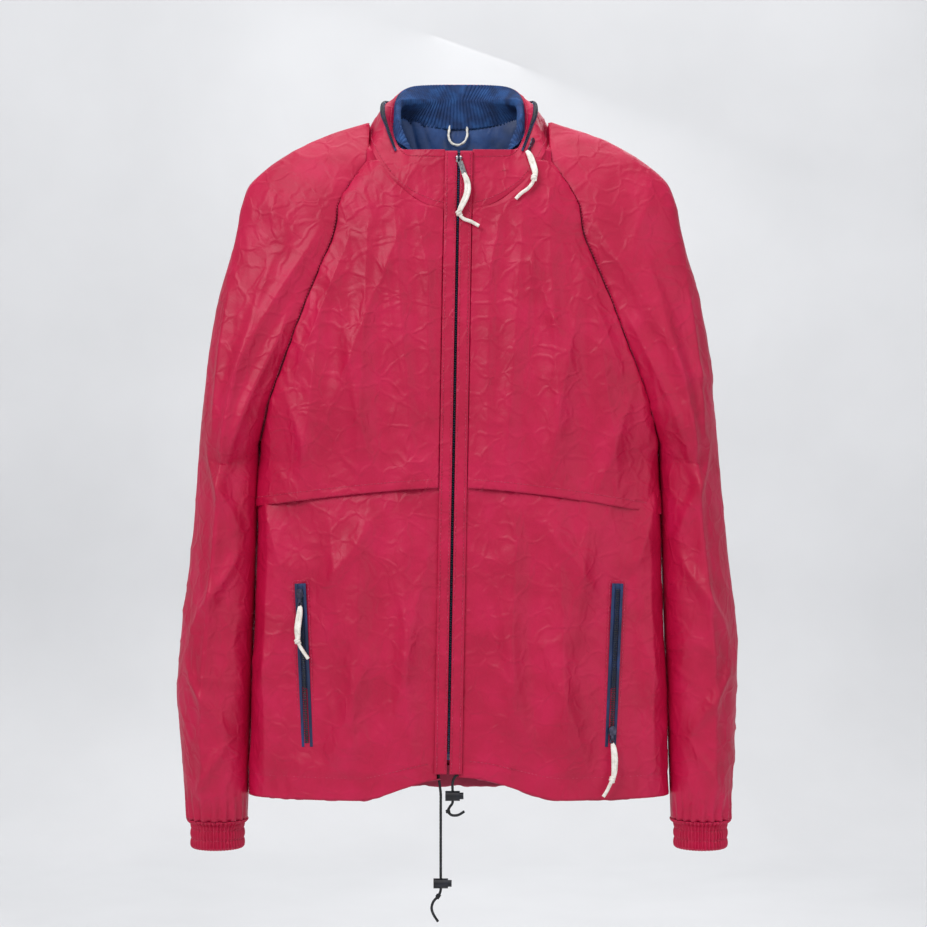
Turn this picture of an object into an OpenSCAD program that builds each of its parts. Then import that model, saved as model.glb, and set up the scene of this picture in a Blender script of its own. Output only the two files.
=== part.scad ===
// Foul weather jacket: a hip-length nylon shell with raglan sleeves, two storm flaps,
// a stand collar that holds a rolled hood, a front zip, two pocket zips and a hem drawcord.
// The front faces -Y, +X is the wearer's left, and the origin is where a hanger carries the neck.

/* [Body] */
// Half width of the body tube at the chest
body_half_w = 222; // [185:1:280]
// Half width of the body at the hem
hem_half_w = 236; // [190:1:290]
// Depth of the hem below the neck
body_len = 748; // [640:1:900]
// How far the front stands forward of the side seams
front_depth = 62; // [48:1:80]
// How far the back stands behind the side seams
back_depth = 50; // [40:1:70]
// Depth of the underarm below the neck
armpit_drop = 356; // [300:1:400]
// How much higher the hem sits at the centre front than at the sides
hem_rise = 26; // [0:1:40]
// Thickness of the outer cloth, with its seam allowances
cloth_t = 1; // [0.8:0.1:1.6]
// Thickness of the lining cloth
lining_t = 0.8; // [0.6:0.1:1.2]
// Space between the outer cloth and the lining
lining_inset = 5.6; // [5:0.1:9]

/* [Sleeves] */
// How far the shoulder point stands outside the body tube
shoulder_out = 22; // [10:1:40]
// Depth of the shoulder point below the neck
shoulder_drop = 95; // [85:1:115]
// Depth of the sleeve end below the neck
sleeve_drop = 776; // [650:1:930]
// How far the sleeve widens between shoulder and elbow
sleeve_out = 66; // [50:1:90]
// Half depth of the sleeve, front to back
sleeve_half_depth = 44; // [34:1:58]
// Height of the elastic cuff
cuff_h = 33; // [24:1:44]
// How much narrower the cuff is than the sleeve end
cuff_gather = 5; // [2:1:9]

/* [Collar] */
// Half width of the neck seam
neck_half_w = 100; // [84:1:120]
// Half width of the collar's top edge
collar_top_half_w = 73; // [64:1:86]
// Height of the collar's top edge at the back
collar_back_z = 58; // [48:1:72]
// Radius of the arc that the collar zip follows
collar_zip_r = 90; // [86:1:96]

/* [Front zip] */
// Width of the channel that the front slider runs in
zip_channel_w = 24; // [20:1:30]
// Width of each placket over the front zip
placket_w = 13.5; // [12:0.5:18]
// Gap between the two plackets
placket_gap = 3.2; // [2.8:0.1:6]
// Width of the front slider
slider_w = 8; // [6.5:0.1:10]
// Width of the zip coils together
coil_w = 6; // [5:0.1:7]

/* [Storm flaps] */
// Depth of the storm flap's hem below the neck
flap_drop = 414; // [380:1:460]
// Depth of the line below which the storm flap lifts
flap_fold_drop = 205; // [180:1:230]

/* [Pockets] */
// Length of a pocket welt
pocket_len = 180; // [140:1:215]
// Width of a pocket welt
pocket_w = 13; // [12:0.5:18]
// Distance of a pocket's middle from the centre front
pocket_x = 171; // [140:1:180]
// Depth of a pocket's middle below the neck
pocket_drop = 600; // [560:1:620]

/* [Cords] */
// Diameter of the white pull cords
pull_cord_d = 4; // [3:0.1:4.5]
// Diameter of the black drawcord
drawcord_d = 3; // [2.4:0.1:3.4]
// Diameter of a cord lock's barrel
lock_d = 11; // [10:0.5:14]
// Length of a cord lock's barrel
lock_len = 16; // [14:0.5:22]

/* [Hidden] */

// The narrow gap left between neighbouring cloth pieces at a seam
seam_gap = 0.5;
// The gap between a sleeve and the body beside it
sleeve_gap = 1.2;
// Running gap of a slider over its coils
run_gap = 0.3;
// Clearance of a pin in its hole, on the radius
pin_gap = 0.05;
$fn = 32;

hem_z = -body_len;
armpit_z = -armpit_drop;
shoulder_z = -shoulder_drop;
sleeve_z = -sleeve_drop;
shoulder_w = body_half_w + shoulder_out;
raglan_top_z = -44;
zip_half = zip_channel_w / 2;
// The front zip leans a little as the jacket hangs
zip_lean = 1;
zip_top_z = -36;
zip_bottom_z = hem_z + hem_rise + 20;
zip_len = zip_top_z - zip_bottom_z;
// Front planes of the zip, from back to front, measured from the side seams
tape_y = -front_depth + cloth_t + 0.5;
tape_t = 0.5;
coil_t = 1.6;
plate_t = 1.3;
coil_y = tape_y;
top_plate_y = coil_y - coil_t - run_gap;
placket_y = top_plate_y - plate_t - 0.7;
placket_t = 1.1;
stem_w = 2;
pin_r = 0.8;
pin_y = placket_y - placket_t - 2.5;
cord_y = pin_y - 3.2;

function mix(a, b, t) = a + (b - a) * t;
function clamp(v, lo, hi) = min(max(v, lo), hi);

// Where the front zip's centre line is at a height
function zip_x(z) = (z - zip_top_z) * tan(zip_lean);

// Half width of the body at a height: the raglan seam above the underarm, the side seam below
function raglan_t(z) = clamp((raglan_top_z - z) / (raglan_top_z - armpit_z), 0, 1);
// Below the shoulder the raglan seam stays outside the arc that the sleeve's top corner sweeps as it lifts
pivot_x = shoulder_w + 1;
seam_shares = [[0, 0], [0.083, 0.16], [0.163, 0.27], [0.34, 0.385], [0.5, 0.56], [0.85, 0.9], [1, 1]];
function raglan_x(z) = mix(neck_half_w, body_half_w, lookup(raglan_t(z), seam_shares));
function sweep_x(z) =
    pivot_x - sqrt(max(pow(pivot_x - raglan_x(shoulder_z), 2) - pow(z - shoulder_z, 2), 0));
function seam_x(z) = z > shoulder_z ? raglan_x(z)
    : z > armpit_z ? min(raglan_x(z), sweep_x(z))
    : mix(body_half_w, hem_half_w, (armpit_z - z) / (armpit_z - hem_z));

// Share of the body's depth at which the seam lies: none at the side seam, most at the chest
function seam_share(z) =
    lookup(z - armpit_z, [[-20, 0], [0, 0.25], [45, 0.62], [155, 0.85], [250, 0.82], [312, 0.6], [360, 0.1]]);
function seam_y(z, depth) = 0.3 + depth * seam_share(z);

// Distance of the cloth from the side seam plane at a place across the body
function body_y(x, z, depth) =
    let (edge = seam_y(z, depth), across = min(abs(x) / seam_x(z), 1))
    edge + (depth - edge) * pow(1 - pow(across, 2.6), 1 / 2.6);

// The half width of the whole garment at a height: the shoulder line, then the sleeve's outer edge
function tip_x(z) = z > shoulder_z
    ? mix(neck_half_w, shoulder_w, lookup((4 - z) / (4 - shoulder_z),
        [[0, 0.04], [0.12, 0.3], [0.34, 0.6], [0.53, 0.79], [0.75, 0.94], [1, 1]]))
    : shoulder_w + sleeve_out * lookup((shoulder_z - z) / (shoulder_z - sleeve_z),
        [[0, 0], [0.06, 0.09], [0.15, 0.29], [0.38, 0.61], [0.52, 0.74], [0.8, 1], [1, 0.93]]);
// How far the sleeve's own roundness stands out at a height
function sleeve_bulge(z) = sleeve_half_depth * lookup(z - armpit_z,
    [[sleeve_z - armpit_z, 0.72], [-370, 0.86], [-60, 1], [0, 0.92], [50, 0.55], [155, 0.18], [360, 0.08]]);

// A closed thin wall between two grids of points of the same size, with rows that run down
// and columns that run to the right as seen from outside
module wall(outer, inner, ring = false) {
    rows = len(outer);
    cols = len(outer[0]);
    n = rows * cols;
    last = ring ? cols : cols - 1;
    cells = [for (r = [0 : rows - 2], c = [0 : last - 1]) [r * cols + c, r * cols + (c + 1) % cols, cols]];
    tops = [for (c = [0 : last - 1]) [c, (c + 1) % cols]];
    low = (rows - 1) * cols;
    sides = ring ? [] : [for (r = [0 : rows - 2]) [r * cols, (r + 1) * cols]];
    end = cols - 1;
    polyhedron(
        points = concat([for (row = outer) each row], [for (row = inner) each row]),
        faces = concat(
            [for (k = cells) each [[k[0], k[1], k[1] + k[2]], [k[0], k[1] + k[2], k[0] + k[2]]]],
            [for (k = cells) each [[n + k[0], n + k[1] + k[2], n + k[1]],
                                   [n + k[0], n + k[0] + k[2], n + k[1] + k[2]]]],
            [for (k = tops) each [[k[0], n + k[0], n + k[1]], [k[0], n + k[1], k[1]]]],
            [for (k = tops) each [[low + k[0], low + k[1], n + low + k[1]],
                                  [low + k[0], n + low + k[1], n + low + k[0]]]],
            [for (k = sides) each [[n + k[0], k[0], k[1]], [n + k[0], k[1], n + k[1]]]],
            [for (k = sides) each [[end + k[0], n + end + k[0], n + end + k[1]],
                                   [end + k[0], n + end + k[1], end + k[1]]]]
        ),
        convexity = 10
    );
}

// A cord as a tube of eight sides swept along its own points
module cord_tube(route, d) {
    n = len(route);
    sides = 8;
    ahead = [for (i = [0 : n - 1])
        let (v = route[min(i + 1, n - 1)] - route[max(i - 1, 0)]) v / norm(v)];
    side = [for (i = [0 : n - 1])
        let (v = cross(ahead[i], abs(ahead[i][1]) > 0.9 ? [1, 0, 0] : [0, 1, 0])) v / norm(v)];
    points = [for (i = [0 : n - 1], k = [0 : sides - 1])
        let (a = k * 360 / sides)
        route[i] + d / 2 * (cos(a) * side[i] + sin(a) * cross(ahead[i], side[i]))];
    polyhedron(
        points = points,
        faces = concat(
            [for (i = [0 : n - 2], k = [0 : sides - 1])
                let (a = i * sides + k, b = i * sides + (k + 1) % sides)
                each [[a, b + sides, b], [a, a + sides, b + sides]]],
            [for (k = [1 : sides - 2]) [0, k, k + 1]],
            [for (k = [1 : sides - 2]) (n - 1) * sides * [1, 1, 1] + [0, k + 1, k]]
        ),
        convexity = 10
    );
}

// A point of the body's cloth: across runs from 0 at the centre to 1 at the seam,
// face is -1 on the front and 1 on the back, and inset moves the point inwards
function body_point(side, across, z, face, inset) =
    let (depth = face < 0 ? front_depth : back_depth,
         edge = seam_y(z, depth),
         inner_edge = max(edge - inset, 0.3),
         squeeze = clamp(1 - edge / 8, 0, 1),
         x = across * (seam_x(z) - seam_gap - inset * squeeze),
         lift = face < 0 ? hem_lift(x, z) : 0)
    [side * x,
     face * (inner_edge + (depth - inset - inner_edge) * pow(1 - pow(across, 2.6), 1 / 2.6)),
     z + lift];
function hem_lift(x, z) =
    hem_rise * max(0, 1 - pow(abs(x) / 90, 2)) * clamp((hem_z + 100 - z) / 100, 0, 1);

// Where the neck seam cuts the front away at a height
function neck_x(z) = neck_half_w / 100 * lookup(z, [[-101, 0], [-95, 34], [-80, 58], [-60, 78], [-44, 88]]);

// Half of the front cloth between two heights, from beside the zip to a share of the way to the seam
function front_grid(side, heights, start, reach, inset, cols = 11) = [for (z = heights) [for (i = [0 : cols])
    let (u = side > 0 ? i / cols : 1 - i / cols,
         near = max(start + side * zip_x(z), neck_x(z)) / (seam_x(z) - seam_gap))
    body_point(side, mix(near, reach, sin(90 * u)), z, -1, inset)]];
function back_grid(heights, inset, cols = 24) = [for (z = heights) [for (i = [0 : cols])
    let (a = sin(90 * (1 - 2 * i / cols)))
    body_point(sign(a), abs(a), z, 1, inset)]];

front_heights = [-44, -60, -80, -95, -101, -120, -150, -205, -270, -312, -340, -358, -378,
                 -460, -560, -648, -700, hem_z];
back_heights = [7, -8, -24, -44, -70, -95, -120, -150, -220, -290, -320, -342, -358, -378,
                -480, -600, -680, hem_z];
yoke_heights = [-44, -60, -80, -95, -101, -120, -150, -flap_fold_drop + 0.3];
flap_heights = concat([-flap_fold_drop - 0.3],
    [for (z = front_heights) if (z < -flap_fold_drop - 1 && z > -flap_drop + 1) z], [-flap_drop]);

module front_panel(side) {
    wall(front_grid(side, front_heights, zip_half, 1, 0),
         front_grid(side, front_heights, zip_half, 1, cloth_t));
}
module front_panel_left() { color("crimson") front_panel(1); }
module front_panel_right() { color("crimson") front_panel(-1); }
module back_panel() {
    color("crimson") wall(back_grid(back_heights, 0), back_grid(back_heights, cloth_t));
}

// The storm flap's layer lies just in front of the chest, from the yoke down to a free hem
flap_start = placket_gap / 2 + placket_w + 0.6;
flap_gap = 0.8;
module flap_layer(side, heights) {
    color("crimson") wall(front_grid(side, heights, flap_start, 0.975, -flap_gap - cloth_t),
                          front_grid(side, heights, flap_start, 0.975, -flap_gap));
}
module yoke_left() { flap_layer(1, yoke_heights); }
module yoke_right() { flap_layer(-1, yoke_heights); }
module storm_flap_left() { flap_layer(1, flap_heights); }
module storm_flap_right() { flap_layer(-1, flap_heights); }

// A point of a sleeve: way runs round from the back seam over the outside to the front seam
function sleeve_point(side, way, z, gap, inset) =
    let (turn = way < 0.5 ? 360 * way : 360 * (1 - way),
         face = way < 0.5 ? 1 : -1,
         rise = seam_y(z, face > 0 ? back_depth : front_depth),
         inner_x = seam_x(z) + gap,
         half = (tip_x(z) - inner_x) / 2,
         closed = clamp(1 - rise / 8, 0, 1),
         flat = pow(1 - pow(turn / 180, 3), 1 / 3),
         x = inner_x + half - half * cos(turn) + inset * cos(turn) * (turn < 90 ? closed : 1),
         y = sleeve_bulge(z) * sin(turn) + rise * flat - inset * clamp(sin(turn) + flat * (1 - closed), 0, 1))
    [side * x, face * max(y, 0.3 * flat), z];
function sleeve_grid(side, heights, gap, inset, cols = 28) = [for (z = heights) [for (i = [0 : cols])
    sleeve_point(side, side < 0 ? i / cols : 1 - i / cols, z, gap, inset)]];

shoulder_heights = [4, -4, -14, -28, -46, -68, -84, shoulder_z + 0.5];
sleeve_heights = [for (t = [0, 0.03, 0.08, 0.15, 0.22, 0.28, 0.33, 0.37, 0.4, 0.45, 0.55, 0.66, 0.78, 0.9, 1])
    mix(shoulder_z - 0.5, sleeve_z, t)];
module shoulder(side) {
    color("crimson") wall(sleeve_grid(side, shoulder_heights, seam_gap, 0),
                          sleeve_grid(side, shoulder_heights, seam_gap, cloth_t));
}
module shoulder_left() { shoulder(1); }
module shoulder_right() { shoulder(-1); }
module sleeve(side) {
    color("crimson") wall(sleeve_grid(side, sleeve_heights, sleeve_gap, 0),
                          sleeve_grid(side, sleeve_heights, sleeve_gap, cloth_t));
}
module sleeve_left() { sleeve(1); }
module sleeve_right() { sleeve(-1); }

// The cuff is a closed band under the sleeve end, and its elastic lies inside it
cuff_x = (seam_x(sleeve_z) + sleeve_gap + tip_x(sleeve_z)) / 2;
cuff_half_w = (tip_x(sleeve_z) - seam_x(sleeve_z) - sleeve_gap) / 2 - cuff_gather;
cuff_half_d = sleeve_bulge(sleeve_z) - cuff_gather;
cuff_t = 2;
elastic_t = 1;
function cuff_grid(side, heights, inset, cols = 28) = [for (z = heights) [for (i = [0 : cols - 1])
    let (flare = cuff_gather * clamp((z - sleeve_z + 5) / 4.5, 0, 1))
    [side * cuff_x + (cuff_half_w + flare - inset) * cos(360 * i / cols),
     (cuff_half_d + flare - inset) * sin(360 * i / cols), z]]];
module cuff_band(side, heights, outer, inner) {
    wall(cuff_grid(side, heights, outer), cuff_grid(side, heights, inner), ring = true);
}
cuff_heights = [sleeve_z - 0.5, sleeve_z - 5, sleeve_z - cuff_h / 2, sleeve_z - cuff_h];
elastic_heights = [sleeve_z - 6, sleeve_z - cuff_h + 4];
module cuff_left() { color("crimson") cuff_band(1, cuff_heights, 0, cuff_t); }
module cuff_right() { color("crimson") cuff_band(-1, cuff_heights, 0, cuff_t); }
elastic_inset = cuff_t + 0.4;
module cuff_elastic(side) {
    color("black") cuff_band(side, elastic_heights, elastic_inset, elastic_inset + elastic_t);
}
module cuff_elastic_left() { cuff_elastic(1); }
module cuff_elastic_right() { cuff_elastic(-1); }

// Lining and the hem's inner layer follow the outer cloth at a set inset
lining_end = hem_z + 30;
lining_heights = [each [for (z = front_heights) if (z < -101 && z > lining_end + 5) z], lining_end];
back_lining_heights = [each [for (z = back_heights) if (z < -6 && z > lining_end + 5) z], lining_end];
lining_start = zip_half + 8;
module front_lining() {
    color("navy") for (side = [-1, 1])
        wall(front_grid(side, lining_heights, lining_start, 0.99, lining_inset),
             front_grid(side, lining_heights, lining_start, 0.99, lining_inset + lining_t));
}
module back_lining() {
    color("navy") wall(back_grid(back_lining_heights, lining_inset),
                       back_grid(back_lining_heights, lining_inset + lining_t));
}
hem_start = zip_half + 8;
hem_heights = [hem_z + 24, hem_z + 12, hem_z];
hem_cord_inset = cloth_t + 0.4 + drawcord_d / 2;
hem_inner_inset = hem_cord_inset + drawcord_d / 2 + 1;
module hem_facing() {
    color("crimson") {
        for (side = [-1, 1])
            wall(front_grid(side, hem_heights, hem_start, 0.97, hem_inner_inset),
                 front_grid(side, hem_heights, hem_start, 0.97, hem_inner_inset + cloth_t));
        wall(back_grid(hem_heights, hem_inner_inset), back_grid(hem_heights, hem_inner_inset + cloth_t));
    }
}
// The drawcord inside the hem runs from one side of the zip round the back to the other
hem_cord_z = hem_z + 11;
module hem_drawcord() {
    left = [for (i = [0 : 11]) body_point(1, mix(0.02, 1, sin(90 * i / 11)), hem_cord_z, -1, hem_cord_inset)];
    back = [for (i = [0 : 20]) let (a = sin(90 * (1 - i / 10)))
        body_point(sign(a), abs(a), hem_cord_z, 1, hem_cord_inset)];
    right = [for (i = [0 : 11])
        body_point(-1, mix(1, 0.115, 1 - cos(90 * i / 11)), hem_cord_z, -1, hem_cord_inset)];
    color("black") cord_tube(concat(left, back, right), drawcord_d);
}

// The collar is lofted through three rings: the neck seam, the bulge over the hood and the top edge.
// turn is 0 at the centre front, 90 at the wearer's left and 180 at the back.
bulge_out = 4;
function neck_ring(turn, k, start) =
    let (x = k * neck_half_w * sin(turn),
         z = -46 - 55 * cos(turn) + (36 + 12 * clamp(-3 * cos(turn), 0, 1)) * pow(sin(turn), 2),
         front = cos(turn) > 0, depth = front ? front_depth : back_depth)
    [x, -clamp(3 * cos(turn), -1, 1) * k * body_y(x, min(z, -4), depth), z];
function bulge_ring(turn, out) =
    [(collar_zip_r + out) * sin(turn),
     max(-front_depth - 0.28 * min(out, 0), -8 - (collar_zip_r + out) * 0.8 * cos(turn)),
     lookup(turn, [[0, -62], [40, -56], [52, -38], [62, -18], [76, 6], [92, 22], [112, 31],
                   [145, 36], [180, 38]])];
function top_ring(turn, out) =
    let (c = cos(turn), s = sin(turn),
         y = c > 0 ? -(front_depth + min(out, 0)) * pow(c, 0.6) : (50 + out) * pow(-c, 0.6))
    [(collar_top_half_w + out) * pow(s, 0.7), y,
     lookup(y, [[-62, -34], [-48, -32], [-28, -16], [0, 14], [38, collar_back_z - 7], [50, collar_back_z]])];
function collar_point(turn, t, neck_k, bulge, top) =
    let (left = turn > 180 ? -1 : 1, a = turn > 180 ? 360 - turn : turn,
         n = neck_ring(a, neck_k), m = bulge_ring(a, bulge), e = top_ring(a, top),
         p = t < 0.5 ? mix(n, m, sin(180 * t)) : mix(m, e, pow(2 * t - 1, 1.3)))
    [left * p[0], p[1], p[2]];
// The lining falls straight from the rolled top edge to the neck seam, inside the hood
function lining_point(turn, t) =
    let (left = turn > 180 ? -1 : 1, a = turn > 180 ? 360 - turn : turn,
         p = mix(neck_ring(a, 0.9), top_ring(a, -6) - [0, 0, 3], t))
    [left * p[0], p[1], p[2]];
function shell_point(turn, t) = collar_point(turn, t, 1, -bulge_out - 1, -1);
function on_collar(turn, t, lining) = lining ? lining_point(turn, t) : shell_point(turn, t);
function collar_normal(turn, t, lining) =
    let (along = on_collar(turn + 3, t, lining) - on_collar(turn - 3, t, lining),
         up = on_collar(turn, min(t + 0.07, 1), lining) - on_collar(turn, max(t - 0.07, 0), lining),
         n = cross(along, up))
    n / norm(n);
// A wall on the collar, set off along its own normal, so that it keeps its thickness where it folds
function collar_grid(rows, from, lining, out, cols = 44) =
    [for (t = rows) [for (i = [0 : cols])
        let (turn = mix(from, 360 - from, i / cols))
        on_collar(turn, t, lining) + out * collar_normal(turn, t, lining)]];
module collar_wall(rows, start, lining, low, high) {
    wall(collar_grid(rows, start, lining, high), collar_grid(rows, start, lining, low));
}
collar_rows = [1, 0.92, 0.8, 0.65, 0.5, 0.35, 0.2, 0.08, 0];
collar_front_turn = 9.5;
collar_t = 0.6;
module collar_shell() { color("crimson") collar_wall(collar_rows, collar_front_turn, false, 0, collar_t); }
module collar_lining() { color("navy") collar_wall(collar_rows, 16, true, -lining_t, 0); }
hood_roll_d = 6;
module stowed_hood() {
    roll = [for (i = [0 : 14])
        let (turn = mix(145, 215, i / 14)) mix(shell_point(turn, 0.5), lining_point(turn, 0.65), 0.5)];
    color("navy") cord_tube(roll, hood_roll_d);
}
// Collar zip: a tape band and a narrow coil band on the collar's outer face, either side of the bulge
collar_zip_from = 54;
zip_rows = [0.6, 0.5, 0.4];
module collar_band(share, start, low, high) {
    rows = [for (t = zip_rows) 0.5 + share * (t - 0.5)];
    collar_wall(rows, start, false, low, high);
}
module collar_zip_tape() { color("darkslateblue") collar_band(1, collar_zip_from, 1.5, 2.3); }
module collar_zip_coil() { color("midnightblue") collar_band(0.5, collar_zip_from + 2, 2.9, 4.1); }

// Front zip, built upright and leaned with the jacket
module lean() {
    translate([0, 0, zip_top_z]) rotate([0, zip_lean, 0]) translate([0, 0, -zip_top_z]) children();
}
// A box between two corners
module box(low, high) { translate(low) cube(high - low); }
half_slot = 0.9;
tape_half_w = 14;
module placket(side) {
    near = placket_gap / 2;
    far = near + placket_w;
    step = max(zip_half + 0.4, near + 2);
    color("crimson") lean() mirror([side < 0 ? 1 : 0, 0, 0]) {
        box([near, placket_y - placket_t, zip_bottom_z - 16], [far, placket_y, zip_top_z]);
        box([step, placket_y, zip_bottom_z - 16], [far, -front_depth - 0.4, zip_top_z]);
    }
}
module placket_left() { placket(1); }
module placket_right() { placket(-1); }
module front_zip_tapes() {
    color("navy") lean() for (side = [-1, 1]) mirror([side < 0 ? 1 : 0, 0, 0])
        box([half_slot, tape_y, zip_bottom_z], [tape_half_w, tape_y + tape_t, zip_top_z]);
}
module front_zip_coils() {
    color("midnightblue") lean() for (side = [-1, 1]) mirror([side < 0 ? 1 : 0, 0, 0])
        box([half_slot, coil_y - coil_t, zip_bottom_z + 6], [coil_w / 2, coil_y, zip_top_z - 1]);
}
module front_zip_stop() {
    color("silver") lean() difference() {
        box([-coil_w / 2 - 0.8, coil_y - coil_t - 0.6, zip_bottom_z],
            [coil_w / 2 + 0.8, coil_y, zip_bottom_z + 5.6]);
        box([-0.6, coil_y - coil_t - 1, zip_bottom_z - 1], [0.6, coil_y - coil_t + 0.4, zip_bottom_z + 4]);
    }
}

// A slider in its own frame: travel along Z, outwards along -Y, the tape's face at y = 0
module slider_plate(w, l, low, high) {
    translate([0, high, 0]) rotate([90, 0, 0]) linear_extrude(high - low) union() {
        circle(d = w);
        translate([-w * 0.36, -l + w * 0.5]) square([w * 0.72, l - w * 0.5]);
    }
}
slider_l = 13;
module front_slider() {
    color("dimgray") lean() translate([0, 0, zip_top_z - slider_w / 2 - 4]) {
        slider_plate(slider_w, slider_l, top_plate_y - plate_t, top_plate_y);
        slider_plate(slider_w, slider_l, tape_y + tape_t + run_gap, tape_y + tape_t + run_gap + plate_t);
        box([-0.55, top_plate_y, -1.5], [0.55, tape_y + tape_t + run_gap, 1.5]);
        box([-stem_w / 2, pin_y, -1.2], [stem_w / 2, top_plate_y - plate_t, 1.2]);
        translate([-4, pin_y, 0]) rotate([0, 90, 0]) cylinder(r = pin_r, h = 8);
    }
}
tab_t = 1.4;
tab_eye_r = 2;
tab_l = 19;
tab_lean = 20;
module front_pull_tab() {
    color("slategray") lean() translate([0, pin_y, zip_top_z - slider_w / 2 - 4]) {
        for (x = [stem_w / 2 + 0.3, -stem_w / 2 - 1.7]) translate([x, 0, 0]) rotate([0, 90, 0]) difference() {
            union() {
                cylinder(r = tab_eye_r, h = 1.4);
                translate([0, -tab_t / 2, 0]) cube([5, tab_t, 1.4]);
            }
            translate([0, 0, -1]) cylinder(r = pin_r + pin_gap, h = 4);
        }
        rotate([0, -tab_lean, 0]) difference() {
            union() {
                box([-2.7, -tab_t / 2, -tab_l], [2.7, tab_t / 2, -4.4]);
                translate([0, tab_t / 2, -tab_l]) rotate([90, 0, 0]) cylinder(r = 2.7, h = tab_t);
            }
            translate([0, tab_t, -tab_l]) rotate([90, 0, 0]) cylinder(r = 1.2, h = 3 * tab_t);
        }
    }
}

// Puts a piece at a place, with its own X to the right and Z up along the cloth, and Y going inwards
function unit(v) = v / norm(v);
module placed(place, right, up) {
    z = unit(up);
    y = unit(cross(z, right));
    x = cross(y, z);
    multmatrix([[x[0], y[0], z[0], place[0]], [x[1], y[1], z[1], place[1]], [x[2], y[2], z[2], place[2]]])
        children();
}
// A slider that saddles a coil lying on a tape whose face is at y = 0
module saddle_slider(w, l, flanged) {
    lift = coil_t + run_gap;
    slider_plate(w, l, -lift - plate_t, -lift);
    if (flanged)
        for (side = [-1, 1]) mirror([side < 0 ? 1 : 0, 0, 0])
            box([coil_w / 2 + run_gap, -lift, -l / 2], [coil_w / 2 + run_gap + 0.9, -run_gap, 0]);
    // The eye that the cord is tied to
    translate([0, -lift, -l - 2.2]) rotate([90, 0, 0]) difference() {
        union() {
            cylinder(r = 2.6, h = plate_t);
            translate([-1.6, 0, 0]) cube([3.2, 6.4, plate_t]);
        }
        translate([0, 0, -1]) cylinder(r = 1.2, h = plate_t + 2);
    }
}

// Pockets: a welt on the front's slope, with its coil and slider
pocket_slant = 8;
welt_gap = 0.3;
welt_t = 1.2;
function front_place(x, z) = [x, -body_y(x, z, front_depth), z];
pocket_mid = front_place(pocket_x, -pocket_drop);
pocket_up = front_place(pocket_x + pocket_slant / 2, -pocket_drop + pocket_len / 2)
    - front_place(pocket_x - pocket_slant / 2, -pocket_drop - pocket_len / 2);
pocket_right = front_place(pocket_x + 5, -pocket_drop) - front_place(pocket_x - 5, -pocket_drop);
module pocket(side) {
    mirror([side < 0 ? 1 : 0, 0, 0]) placed(pocket_mid, pocket_right, pocket_up) children();
}
module pocket_welt(side) {
    color("midnightblue") pocket(side)
        box([-pocket_w / 2, -welt_gap - welt_t, -pocket_len / 2], [pocket_w / 2, -welt_gap, pocket_len / 2]);
}
module pocket_coil(side) {
    color("black") pocket(side) translate([0, -welt_gap - welt_t, 0])
        box([-coil_w / 2, -coil_t, -pocket_len / 2 + 5], [coil_w / 2, 0, pocket_len / 2 - 5]);
}
module pocket_welt_left() { pocket_welt(1); }
module pocket_welt_right() { pocket_welt(-1); }
module pocket_coil_left() { pocket_coil(1); }
module pocket_coil_right() { pocket_coil(-1); }
pocket_slider_w = coil_w + 2 * run_gap + 1.8;
pocket_slider_l = 10;
module pocket_slider(side, height) {
    color("slategray") pocket(side) translate([0, -welt_gap - welt_t, height])
        saddle_slider(pocket_slider_w, pocket_slider_l, true);
}
module pocket_slider_left() { pocket_slider(1, -pocket_len / 2 + 19); }
module pocket_slider_right() { pocket_slider(-1, pocket_len / 2 - 10); }
bag_heights = [-pocket_drop + pocket_len / 2 - 8, -pocket_drop + 40, -pocket_drop - 40,
               -pocket_drop - pocket_len / 2 - 15];
bag_inner = 1.6;
bag_outer = 4.6;
function bag_grid(side, inset) = [for (z = bag_heights) [for (i = [0 : 10])
    let (u = side > 0 ? i / 10 : 1 - i / 10)
    body_point(side, mix(0.42, 0.86, u), z, -1, inset)]];
module pocket_bag_left() { color("navy") wall(bag_grid(1, bag_inner), bag_grid(1, bag_outer)); }
module pocket_bag_right() { color("navy") wall(bag_grid(-1, bag_inner), bag_grid(-1, bag_outer)); }

// Collar slider, on the wearer's left, where its zip is shut
collar_slider_turn = 60;
collar_slider_place = collar_point(collar_slider_turn, 0.5, 1, 7.2 - bulge_out, 0);
collar_slider_up = collar_point(collar_slider_turn + 5, 0.5, 1, 0, 0)
    - collar_point(collar_slider_turn - 5, 0.5, 1, 0, 0);
collar_slider_right = cross([sin(collar_slider_turn), -cos(collar_slider_turn), 0], collar_slider_up);
module collar_slider() {
    color("slategray") placed(collar_slider_place, -collar_slider_right, collar_slider_up)
        translate([0, coil_t, 0]) saddle_slider(7, 10, false);
}

// Neck loop and label
module hang_loop() {
    color("white") cord_tube([[-11, 42.6, 9.6], [-11.6, 40.6, 3], [-12, 38, -4], [-9, 36, -11], [-2, 35, -14],
                              [5, 36, -11], [9, 38, -4], [9.2, 40.6, 3], [9, 42.6, 9.6]], 3);
}
label_y = back_depth - lining_inset - lining_t - 0.9;
module neck_label() { color("lightsteelblue") box([-30, label_y - 0.6, -52], [-4, label_y, -22]); }

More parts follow.
